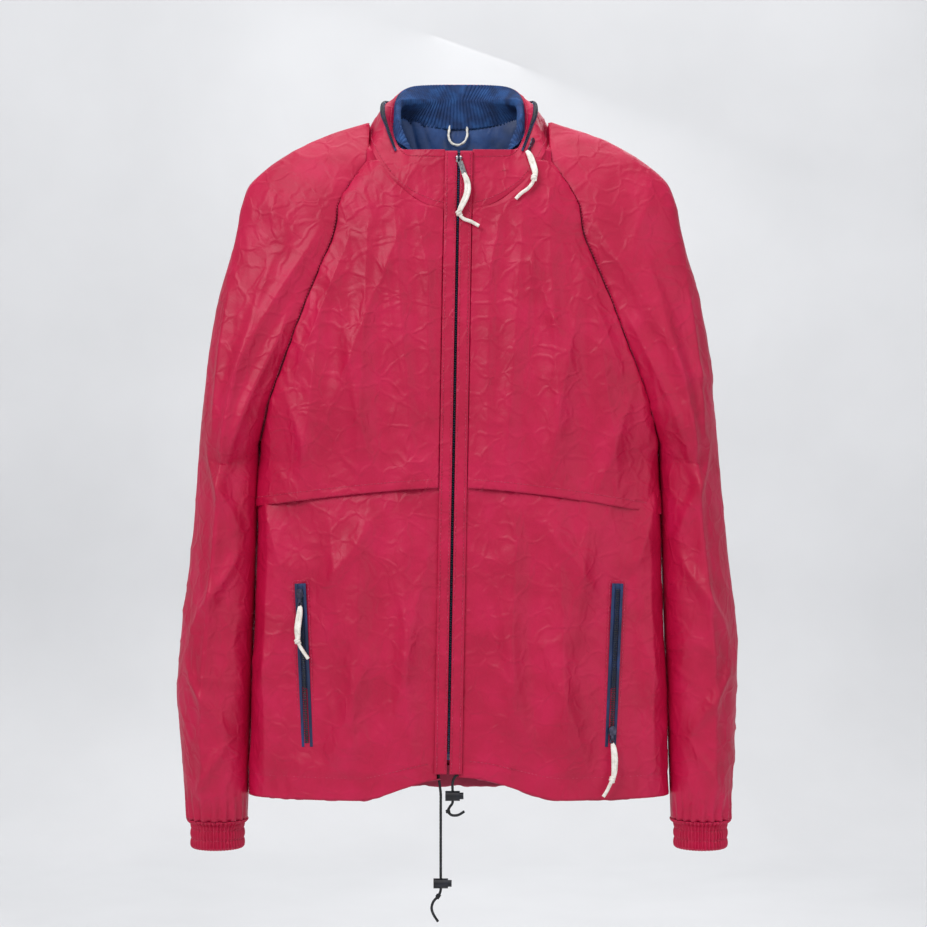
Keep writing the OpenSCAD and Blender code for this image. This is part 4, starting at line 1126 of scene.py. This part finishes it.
@dataclass
class Body:
    """The jacket's body: fronts, cape, back, linings and hem."""

    cloth_cols: int = 110
    cloth_rows: int = 210

    def build(self) -> None:
        """Builds the fronts, the back, their linings and the hem."""
        for side in Side:
            self.front(side)
            self.cape(side)
        back = BackPanel()
        piece = fit(back.cloth("back_panel_cloth", 200, 230), "torso", "crimson_nylon", CRIMSON_NYLON, "back_panel")
        fit(BackLining().cloth("back_lining_cloth", 140, 150, 0.7), "torso", "navy_lining", NAVY_LINING, "back_lining")
        across = np.linspace(0.02, 0.98, 260)
        stitched(back.seam("back_hem_stitches", across, np.full(260, (7 + 723.0) / 755)), "torso")
        self.hem(back)

    def front(self, side: Side) -> None:
        """One front with its lining and hem stitches."""
        panel = FrontPanel(side)
        piece = fit(panel.cloth(f"front_panel_{side.word}_cloth", self.cloth_cols, self.cloth_rows), "torso",
                    "crimson_nylon", CRIMSON_NYLON, f"front_panel_{side.word}")
        fit(FrontLining(side).cloth(f"front_lining_{side.word}_cloth", 50, 110, 0.7), "torso", "navy_lining",
            NAVY_LINING, "front_lining")
        across = np.linspace(0.03, 0.97, 140)
        stitched(panel.seam(f"front_hem_stitches_{side.word}", across, np.full(140, 679.0 / 704)), "torso")

    def cape(self, side: Side) -> None:
        """The yoke and flap in one cloth."""
        cape = Cape(side, hem_fall=30.0 if side is Side.LEFT else 21.0)
        piece = cape.cloth(f"cape_{side.word}", 130, 150, 0.8)
        weld_blend(piece, "crimson_nylon", CRIMSON_NYLON, ("torso", f"storm_flap_{side.word}"),
                   (0, -0.0635, -0.17), (0, -0.0635, -0.26), f"yoke_{side.word}", f"storm_flap_{side.word}")
        across = np.linspace(0.02, 0.98, 160)
        stitched(cape.seam(f"flap_hem_stitches_{side.word}", across, np.full(160, 0.974), 0.25, 2.6, 1.0, 0.36),
                 f"storm_flap_{side.word}")

    def hem(self, back: BackPanel) -> None:
        """The facing inside the hem and the elastic cord in its channel."""
        inside = HemFacing(Face.BACK, outer=back)
        fit(inside.cloth("hem_facing_back", 200, 40, 0.6), "torso", "crimson_nylon", CRIMSON_BACKING, "hem_facing")
        for side in Side:
            half = HemFacing(Face.FRONT, float(side.value), outer=FrontPanel(side))
            fit(half.cloth(f"hem_facing_front_{side.word}", 90, 36, 0.6), "torso", "crimson_nylon", CRIMSON_BACKING,
                "hem_facing")
        z = np.array(CUT.hem_z + 11.0)
        left = CUT.on_body(1.0, np.sin(np.linspace(0.02, np.pi / 2, 60)), z, Face.FRONT, 2.9)
        behind = np.sin(np.linspace(np.pi / 2, -np.pi / 2, 120))
        rear = CUT.on_body(np.sign(behind), np.abs(behind), z, Face.BACK, 2.9)
        right = CUT.on_body(-1.0, np.sin(np.linspace(np.pi / 2, 0.115, 60)), z, Face.FRONT, 2.9)
        line = np.concatenate([left, rear[1:-1], right])
        fit(loft("hem_cord_in_channel", tube_rings(line, 1.5, 8, (0, 0, 1))), "torso", "black_cord", BLACK_BRAID,
            "hem_drawcord")


@dataclass
class Arm:
    """A sleeve with its shoulder, and the elastic cuff that it is gathered into."""

    side: Side

    def build(self) -> None:
        """Builds the sleeve, its raglan stitching and its cuff."""
        word, sign = self.side.word, self.side.value
        sleeve = Sleeve(self.side)
        piece = sleeve.cloth(f"sleeve_{word}_cloth", 120, 250)
        weld_blend(piece, "crimson_nylon", CRIMSON_NYLON, ("torso", f"sleeve_{word}"),
                   (sign * 0.236, 0, -0.072), (sign * 0.252, 0, -0.142), f"shoulder_{word}", f"sleeve_{word}")
        down = np.linspace((4 + 46) / 780, (4 + 330) / 780, 220)
        for row, way in enumerate((0.018, 0.036)):
            for face, at in (("front", 1 - way), ("back", way)):
                stitches = sleeve.seam(f"raglan_stitches_{word}_{face}_{row}", np.full(220, at), down, 0.25, 2.4, 0.9)
                WARDROBE.dress(stitches, CRIMSON_THREAD)
                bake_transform(stitches)
        self.webs()
        cuff = Cuff(self.side)
        fit(cuff.cloth(f"cuff_{word}_cloth", 420, 40, 1.6, ring=True), f"sleeve_{word}", "crimson_nylon",
            CRIMSON_NYLON, f"cuff_{word}")
        inner = replace(cuff, pleats=60, seed=84)
        ring = inner.at(*np.meshgrid(np.linspace(0, 1, 180, endpoint=False), np.linspace(0.06, 0.94, 14)), -3.4)
        core = inner.at(*np.meshgrid(np.linspace(0, 1, 180, endpoint=False), np.linspace(0.06, 0.94, 14)), -4.3)
        fit(shell(f"cuff_elastic_{word}_band", ring, core, True), f"sleeve_{word}", "cuff_elastic", WOVEN_ELASTIC,
            f"cuff_elastic_{word}")
        for k, share in enumerate((0.335, 0.665, 0.93)):
            turn = np.linspace(0, 1, 260)
            stitched(cuff.seam(f"cuff_stitches_{word}_{k}", turn, np.full(260, share), 0.2, 2.2, 1.0),
                     f"sleeve_{word}")


    def webs(self) -> None:
        """Short strips behind the raglan seam, each covering its own stretch of it."""
        marks = np.linspace(-50, CUT.armpit_z + 4, 10)
        for face in Face:
            for k, (high, low) in enumerate(zip(marks[:-1], marks[1:])):
                web = ArmholeWeb(self.side, face, float(high), float(low) - 1.0)
                near, far = MM * web.base(np.array([0.0, 1.0]), np.array([0.5, 0.5]))
                piece = web.cloth(f"armhole_web_{self.side.word}_{'front' if face is Face.FRONT else 'back'}_{k}",
                                  14, 26, 0.5)
                weld_blend(piece, "crimson_nylon", CRIMSON_BACKING, ("torso", f"sleeve_{self.side.word}"),
                           tuple(map(float, mix(near, far, 0.2))), tuple(map(float, mix(near, far, 0.8))))


@dataclass
class CollarWork:
    """The collar: its shell, ribbed lining, rolled hood, zip tape and coil, label and hanging loop."""

    teeth_pitch: float = 1.7
    loop_mm: tuple[tuple[float, float, float], ...] = (
        (-11, 42.6, 9.6), (-11.6, 40.6, 3), (-12, 38, -4), (-9, 36, -11), (-2, 35, -14), (5, 36, -11),
        (9, 38, -4), (9.2, 40.6, 3), (9, 42.6, 9.6))

    def build(self) -> None:
        """Builds the collar from the shell inwards."""
        collar = Collar()
        piece = fit(collar.cloth("collar_shell_cloth", 260, 90, 0.8), "torso", "crimson_nylon", CRIMSON_NYLON,
                    "collar_shell")
        lining = RibbedLining()
        fit(lining.cloth("collar_rib_lining", 900, 46, 0.7), "torso", "navy_rib", NAVY_RIB, "collar_lining")
        self.zip(collar)
        self.hood(collar)
        self.gussets(collar)
        self.label()
        self.loop()
        turn = np.linspace(0.01, 0.99, 320)
        stitched(collar.seam("collar_top_stitches", turn, np.full(320, 0.115), 0.2, 2.4, 0.9), "torso")
        stitched(collar.seam("collar_neck_stitches", turn, np.full(320, 0.93), 0.2, 2.4, 0.9), "torso")

    def zip(self, collar: Collar) -> None:
        """The tape round the bulge and the coil's teeth on it."""
        first = (54 - collar.front_turn) / (360 - 2 * collar.front_turn)
        u, v = np.meshgrid(np.linspace(first, 1 - first, 240), np.linspace(0.4, 0.6, 14))
        calm = replace(collar, crease=0.0)
        fit(shell("collar_zip_tape_band", calm.at(u, v, 2.0), calm.at(u, v, 1.3)), "torso", "navy_tape", NAVY_TAPE,
            "collar_zip_tape")
        line = calm.at(np.linspace(first + 0.006, 1 - first - 0.006, 400), 0.5, 2.7)
        marks = along(line, self.teeth_pitch)
        above = calm.at(np.linspace(first + 0.006, 1 - first - 0.006, len(marks)), 0.47, 2.7)
        below = calm.at(np.linspace(first + 0.006, 1 - first - 0.006, len(marks)), 0.53, 2.7)
        out = calm.normal(np.linspace(first + 0.006, 1 - first - 0.006, len(marks)), np.full(len(marks), 0.5))
        fit(capsules("collar_zip_teeth", above, below, out, 0.72, 0.5), "torso", "zip_coil", ZIP_COIL,
            "collar_zip_coil")

    def gussets(self, collar: Collar) -> None:
        """Small gussets that close the front between the collar's seam and the raglan: ruled from one to the other."""
        turn = np.radians(np.linspace(52, 90, 40))
        ring = collar.neck_ring(turn)
        for side in Side:
            inner = ring * (side.value, 1, 1) + (0, 0.9, 0)
            z = ring[:, 2]
            depth = np.maximum(CUT.seam_y(z, Face.FRONT) - 1.2, 0.4)
            far = np.stack([side.value * (CUT.seam_x(z) + 2.2), -depth, z], -1)
            far[:, 1] = np.minimum(far[:, 1], mix(inner[:, 1], far[:, 1], 0.6))
            share = np.linspace(-0.15, 1, 12)[:, None, None]
            grid = inner[None] + (far - inner)[None] * share
            if side is Side.LEFT:
                grid = grid[::-1]
            fit(shell(f"neck_gusset_{side.word}", grid, grid + (0, 0.6, 0)), "torso", "crimson_nylon", CRIMSON_NYLON)

    def hood(self, collar: Collar) -> None:
        """The rolled hood: a tube with creases, inside the back of the collar."""
        turn = np.radians(np.linspace(146, 214, 60))
        sign = np.where(turn > np.pi, -1.0, 1.0)
        half = np.where(turn > np.pi, 2 * np.pi - turn, turn)
        shell_line = replace(collar, bulge=-5.0).bulge_ring(half)
        low, top = collar.neck_ring(half) * (0.9, 0.9, 1), collar.top_ring(half) * (0.92, 0.9, 1)
        middle = 0.5 * shell_line + 0.5 * mix(low, top, 0.65)
        middle[:, 0] *= sign
        rings = tube_rings(middle, 2.8, 16, (0, 0, 1))
        swell = 0.35 * noise(rings, 7, 12)[..., None]
        fit(loft("rolled_hood", rings + swell * unit(rings - middle[:, None])), "torso", "navy_lining", NAVY_LINING,
            "stowed_hood")

    def label(self) -> None:
        """A blank woven label, bowed a little."""
        x, z = np.meshgrid(np.linspace(-30, -4, 30), np.linspace(-22, -52, 34))
        bow = 0.25 * np.sin(np.pi * (x + 30) / 26) * np.sin(np.pi * (z + 52) / 30)
        front = np.stack([x, 42.1 - bow, z], -1)
        fit(shell("neck_label_cloth", front, front + (0, 0.5, 0)), "torso", "label_cloth", WOVEN_LABEL, "neck_label")

    def loop(self) -> None:
        """The hanging loop, a twisted cotton cord: its radius swells by the sine of its twist."""
        line = smooth_line(np.array(self.loop_mm, float), 14)
        turn = 2 * np.pi * np.arange(14) / 14
        reach = np.arange(len(line))[:, None]
        fit(loft("hang_loop_cord", tube_rings(line, 1.35 + 0.15 * np.cos(2 * turn + reach * 0.5), 14, (0, 0, 1))),
            "torso", "white_cord", WHITE_COTTON, "hang_loop")


@dataclass
class FrontZip:
    """The front zip: tapes, teeth and the plackets that stand over it."""

    pitch: float = 2.5

    def build(self) -> None:
        """Builds both halves and the teeth where they meet."""
        for side in Side:
            self.half(side)
        z = np.arange(-38.0, -695.0, -self.pitch)
        x = (z - CUT.zip_top) * LEAN
        starts = np.stack([x - 2.5, np.full_like(z, -61.3), z + 0.3], -1)
        fit(capsules("front_zip_teeth", starts, starts + (5.0, 0, -0.6), np.array([0, -1.0, 0]), 0.86), "torso",
            "zip_coil", ZIP_COIL, "front_zip_coils")

    def half(self, side: Side) -> None:
        """One tape and one placket with its edge stitching."""
        word, s = side.word, side.value
        low, high = sorted((s * 0.9, s * 14.0))
        fit(bar(f"front_zip_tape_{word}", (low, high), (-60.5, -60.0), (-702, -36), 120), "torso", "navy_tape",
            NAVY_TAPE, "front_zip_tapes")
        low, high = sorted((s * 1.6, s * 15.1))
        fit(bar(f"placket_{word}_cloth", (low, high), (-65.5, -63.6), (-718, -36), 300, 0.55, 7 + s), "torso",
            "crimson_nylon", CRIMSON_NYLON, f"placket_{word}")
        low, high = sorted((s * 12.4, s * 15.1))
        fit(bar(f"placket_{word}_join", (low, high), (-64.4, -62.4), (-718, -36), 120), "torso", "crimson_nylon",
            CRIMSON_NYLON, f"placket_{word}")
        z = np.linspace(-38, -716, 300)
        for k, reach in enumerate((3.6, 12.6)):
            line = np.stack([s * reach + (z - CUT.zip_top) * LEAN, np.full_like(z, -65.75), z], -1)
            stitched(stitch_row(f"placket_{word}_stitches_{k}", line, np.array([0, -1.0, 0]), 2.8, 1.0, 0.36),
                     "torso")


@dataclass
class Pocket:
    """A welt pocket: two lips with a coil between them, stitching round it and a bag behind it."""

    side: Side
    half_length: float = 90.0

    def place(self, points: Array) -> Array:
        """Turns points from the pocket's own frame onto the front: slanted, and laid square to the cloth."""
        s = self.side.value
        z = np.array(POCKET.height)
        across = POCKET.middle / CUT.seam_x(z)
        step = 0.01
        a, b = (CUT.on_body(s, across + d, z, Face.FRONT, 0.0) for d in (-step, step))
        right = unit(b - a) * s
        slant = np.arctan2(POCKET.slant, POCKET.length) * s
        down = np.array([np.sin(slant), 0.0, np.cos(slant)])
        out = unit(np.cross(right, down))
        right = np.cross(down, out)
        middle = CUT.on_body(s, across, z, Face.FRONT, 0.0)
        return middle + points[..., :1] * right - points[..., 1:2] * out + points[..., 2:] * down

    def build(self) -> None:
        """Builds the welt, teeth, stitching and bag."""
        word = self.side.word
        turn = 2 * np.pi * np.arange(20) / 20
        z = np.linspace(-self.half_length, self.half_length, 110)[:, None]
        for k, (mid, half) in enumerate(((-4.7, 1.8), (4.7, 1.8))):
            c, s = np.cos(turn), np.sin(turn)
            ring = np.stack(np.broadcast_arrays(mid + half * np.sign(c) * np.abs(c) ** 0.6,
                                                -0.9 + 0.75 * np.sign(s) * np.abs(s) ** 0.7, z), -1)
            ring[..., 1] += -0.18 * noise(ring * (0.4, 0.2, 1), 14, k + 3)
            fit(loft(f"pocket_lip_{word}_{k}", self.place(ring)), "torso", "navy_tape", NAVY_TAPE,
                f"pocket_welt_{word}")
        x, down = np.meshgrid(np.linspace(-6, 6, 8), np.linspace(-self.half_length, self.half_length, 60))
        tape = np.stack([x, np.full_like(x, -0.4), down], -1)
        fit(shell(f"pocket_tape_{word}", self.place(tape[:, ::-1]), self.place(tape[:, ::-1] + (0, 0.5, 0))), "torso",
            "navy_tape", NAVY_TAPE, f"pocket_welt_{word}")
        rows = np.arange(-85, 85, 2.0)
        starts = np.stack([np.full_like(rows, -2.4), np.full_like(rows, -2.3), rows], -1)
        ends = starts + (4.8, 0, 0.4)
        up = unit(self.place(np.array([[0, -1.0, 0]])) - self.place(np.array([[0, 0.0, 0]])))
        fit(capsules(f"pocket_teeth_{word}", self.place(starts), self.place(ends), up, 0.72), "torso", "zip_coil",
            ZIP_COIL, f"pocket_coil_{word}")
        edge = np.array([[-9, -0.5, -93], [9, -0.5, -93], [9, -0.5, 93], [-9, -0.5, 93], [-9, -0.5, -93]], float)
        line = np.concatenate([np.linspace(a, b, 80, endpoint=False) for a, b in zip(edge[:-1], edge[1:])])
        stitched(stitch_row(f"pocket_stitches_{word}", self.place(line), up, 2.6, 1.0, 0.36), "torso")
        self.bag()

    def bag(self) -> None:
        """The pocket bag between the front and its lining: a flat pouch that follows the front's curve."""
        low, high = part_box(f"pocket_bag_{self.side.word}")
        low, high = 1000 * np.array(low), 1000 * np.array(high)
        u, v = np.meshgrid(np.linspace(0, 1, 40), np.linspace(0, 1, 60))
        z = mix(high[2] - 2, low[2] + 2, v)
        x = mix(low[0] + 2, high[0] - 2, u)
        across = np.abs(x) / CUT.seam_x(z)
        outer = CUT.on_body(self.side.value, across, z, Face.FRONT, 2.2)
        inner = CUT.on_body(self.side.value, across, z, Face.FRONT, 4.4)
        flip = slice(None, None, -1) if self.side is Side.LEFT else slice(None)
        fit(shell(f"pocket_bag_{self.side.word}_cloth", outer[:, flip], inner[:, flip]), "torso", "navy_lining",
            NAVY_LINING, f"pocket_bag_{self.side.word}")


@dataclass
class Cord:
    """A free cord with its braid and knot; a doubled one has a second strand beside it down to the knot."""

    name: str
    body: str
    node: str
    knot_node: str
    route: tuple[tuple[float, float, float], ...]
    knot_at: int
    length: float
    diameter: float
    doubled: bool
    slot: str
    lay: str = "hanging"

    def strand(self, name: str, line: Array) -> bpy.types.Object:
        """A braided tube: its radius swells by the product of two sines that run opposite ways round it."""
        turn = 2 * np.pi * np.arange(16) / 16
        reach = np.arange(len(line))[:, None]
        braid = np.abs(np.sin(3 * turn + reach * 0.7) * np.sin(3 * turn - reach * 0.7))
        radius = self.diameter * RADIUS_MM * (1 - 0.07 * braid)
        return loft(name, tube_rings(line, radius, 16, (0, 1, 0)))

    def knot(self, line: Array) -> bpy.types.Object:
        """An overhand knot drawn tight: a cord wound twice round the line."""
        middle = 1000 * np.array(self.route[self.knot_at])
        spot = int(np.argmin(np.linalg.norm(line - middle, axis=1)))
        ahead = unit(line[min(spot + 1, len(line) - 1)] - line[spot - 1])
        side = unit(np.cross(ahead, (0, 1, 0)))
        over = np.cross(ahead, side)
        t = np.linspace(0, 1, 70)
        turn = 2 * np.pi * 2.1 * t
        size = self.diameter * 500
        wind = (middle + np.cos(turn)[:, None] * side * size * 1.05 + np.sin(turn)[:, None] * over * size * 1.05
                + ((t - 0.5) * size * 2.6)[:, None] * ahead)
        return loft(self.name + "_knot_wind", tube_rings(wind, size * 0.72, 12, ahead))

    def build(self) -> None:
        finish = WHITE_COTTON if self.slot == "white_cord" else BLACK_BRAID
        line = smooth_line(1000 * np.array(self.route), 10)
        main = fit(self.strand(self.name, line), self.body, self.slot, finish, self.node)
        pieces = [fit(self.knot(line), self.body, self.slot, finish, self.knot_node)]
        if self.doubled:
            middle = 1000 * np.array(self.route[self.knot_at])
            stop = int(np.argmin(np.linalg.norm(line - middle, axis=1)))
            aside = np.sin(np.pi * np.linspace(0, 1, stop)) ** 0.5 * 3.4
            other = line[:stop] + aside[:, None] * np.array([1.0, 0.0, 0.0]) + np.array([0, -0.2, 0])
            pieces.append(fit(self.strand(self.name + "_second_strand", other), self.body, self.slot, finish))


CORDS = (
    Cord("front_pull_cord_white", "front_pull", "front_pull_cord", "front_pull_knot", (
        (0.005, -0.0714, -0.062), (0.007, -0.0714, -0.068), (0.008, -0.0714, -0.076), (0.007, -0.0714, -0.084),
        (0.004, -0.0714, -0.092), (0.001, -0.0714, -0.099), (0, -0.0714, -0.105), (0.005, -0.0714, -0.111),
        (0.013, -0.0714, -0.114), (0.022, -0.0714, -0.119)), 6, 0.067, 0.004, True, "white_cord"),
    Cord("collar_pull_cord_white", "collar_slider", "collar_pull_cord", "collar_pull_knot", (
        (0.0747, -0.0524, -0.0348), (0.0764, -0.0548, -0.039), (0.078, -0.058, -0.045), (0.08, -0.062, -0.052),
        (0.082, -0.065, -0.059), (0.082, -0.068, -0.066), (0.08, -0.0686, -0.072), (0.075, -0.069, -0.078),
        (0.068, -0.069, -0.083), (0.062, -0.069, -0.089)), 5, 0.066, 0.004, True, "white_cord"),
    Cord("pocket_cord_left_white", "pocket_slider_left", "pocket_cord_left", "pocket_knot_left", (
        (0.1684, -0.056, -0.6861), (0.1686, -0.058, -0.691), (0.1688, -0.0592, -0.697), (0.169, -0.06, -0.703),
        (0.169, -0.06, -0.71), (0.169, -0.06, -0.717), (0.168, -0.06, -0.724), (0.165, -0.0606, -0.731),
        (0.162, -0.061, -0.737), (0.158, -0.062, -0.743)), 6, 0.06, 0.004, True, "white_cord"),
    Cord("pocket_cord_right_white", "pocket_slider_right", "pocket_cord_right", "pocket_knot_right", (
        (-0.175, -0.0538, -0.5354), (-0.176, -0.0554, -0.54), (-0.177, -0.057, -0.546), (-0.178, -0.058, -0.553),
        (-0.1786, -0.0586, -0.56), (-0.178, -0.0586, -0.567), (-0.177, -0.0588, -0.573), (-0.174, -0.059, -0.579),
        (-0.17, -0.06, -0.585), (-0.165, -0.0614, -0.592)), 6, 0.06, 0.004, True, "white_cord"),
    Cord("drawcord_long_braid", "torso", "drawcord_long_end", "drawcord_long_knot", (
        (-0.0252, -0.0586, -0.7159), (-0.023, -0.0566, -0.718), (-0.022, -0.056, -0.724), (-0.021, -0.056, -0.732),
        (-0.02, -0.056, -0.741), (-0.02, -0.056, -0.75), (-0.02, -0.056, -0.759), (-0.02, -0.056, -0.768),
        (-0.02, -0.056, -0.777), (-0.02, -0.056, -0.786), (-0.02, -0.056, -0.795), (-0.02, -0.056, -0.804),
        (-0.02, -0.056, -0.813), (-0.02, -0.056, -0.822), (-0.02, -0.056, -0.831), (-0.02, -0.056, -0.846),
        (-0.023, -0.056, -0.853), (-0.028, -0.056, -0.859), (-0.03, -0.056, -0.866), (-0.028, -0.056, -0.873),
        (-0.023, -0.056, -0.881)), 16, 0.172, 0.003, False, "black_cord"),
    Cord("drawcord_short_braid", "torso", "drawcord_short_end", "drawcord_short_knot", (
        (0.0032, -0.0587, -0.7139), (-0.001, -0.0566, -0.718), (-0.005, -0.056, -0.723), (-0.007, -0.056, -0.729),
        (-0.007, -0.056, -0.738), (-0.007, -0.056, -0.75), (-0.01, -0.056, -0.755), (-0.012, -0.056, -0.76),
        (-0.008, -0.056, -0.764), (-0.001, -0.056, -0.764), (0.006, -0.056, -0.76)), 7, 0.067, 0.003, False,
         "black_cord"))


@dataclass
class Studio:
    """The camera, the soft lights and the pale wall that curves into a floor."""

    wall_y: float = 2.9
    floor_z: float = -1.3
    bend: float = 0.6

    def build(self) -> None:
        """Builds the camera, lights, world and wall."""
        scene = bpy.context.scene
        camera = bpy.data.cameras.new("camera")
        camera.lens, camera.sensor_width = 77.6, 36
        eye = bpy.data.objects.new("camera", camera)
        eye.location, eye.rotation_euler = (0.005, -2.25, -0.378), (np.pi / 2, 0, 0)
        scene.collection.objects.link(eye)
        scene.camera = eye
        scene.view_settings.view_transform = "Standard"
        for name, place, aim, size, power in (
                ("key_light", (-1.5, -2.3, 1.3), (0.1, 0, -0.35), 1.3, 44),
                ("fill_light", (1.9, -2.2, 0.1), (0, 0, -0.4), 2.2, 15),
                ("top_light", (0.0, -0.9, 1.9), (0, 0.1, -0.4), 1.2, 13),
                ("back_light", (0.6, 2.3, 1.3), (0, 0, -0.4), 1.6, 14),
                ("wall_light", (0.0, 1.0, 2.7), (0, 2.9, -0.4), 2.6, 52)):
            light = bpy.data.lights.new(name, "AREA")
            light.size, light.energy = size, power
            lamp = bpy.data.objects.new(name, light)
            lamp.location, lamp.visible_camera = place, False
            lamp.rotation_euler = (Vector(aim) - Vector(place)).to_track_quat("-Z", "Y").to_euler()
            scene.collection.objects.link(lamp)
        world = bpy.data.worlds.new("pale_room")
        world.use_nodes = True
        background = world.node_tree.nodes["Background"]
        background.inputs["Color"].default_value = (0.9, 0.91, 0.93, 1)
        background.inputs["Strength"].default_value = 0.46
        scene.world = world
        self.wall()

    def wall(self) -> None:
        """A wall that turns by a quarter circle into the floor."""
        turn = np.linspace(0, np.pi / 2, 14)
        y = np.concatenate([[self.wall_y], self.wall_y - self.bend * (1 - np.cos(turn)), [-5.5]])
        z = np.concatenate([[3.6], self.floor_z + self.bend * (1 - np.sin(turn)), [self.floor_z]])
        x = np.linspace(-6, 6, 13)
        grid = np.stack(np.broadcast_arrays(x[None, :], y[:, None], z[:, None]), axis=-1) * 1000
        piece = make_object("pale_wall", grid.reshape(-1, 3), cells(len(y), len(x), False))
        WARDROBE.dress(piece, PALE_WALL)


def dress_hardware() -> None:
    """Gives the sliders, pull tab, stop and cord locks, whose CAD shapes stay, their metal and plastic."""
    for name in ("front_slider", "collar_slider", "pocket_slider_left", "pocket_slider_right", "front_zip_stop"):
        WARDROBE.node(name, LACQUERED_ZINC)
    WARDROBE.node("front_pull_tab", STAMPED_ALUMINIUM)
    for name in ("lock_barrel_long", "lock_barrel_short", "lock_button_long", "lock_button_short"):
        WARDROBE.node(name, MOULDED_ACETAL)


def main() -> None:
    """Builds the studio, then the jacket from its cords to its cloth."""
    Studio().build()
    for cord in CORDS:
        cord.build()
    dress_hardware()
    FrontZip().build()
    for side in Side:
        Pocket(side).build()
    CollarWork().build()
    Body().build()
    for side in Side:
        Arm(side).build()
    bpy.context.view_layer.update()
    log.info("jacket built")


if __name__ == "__main__":
    main()
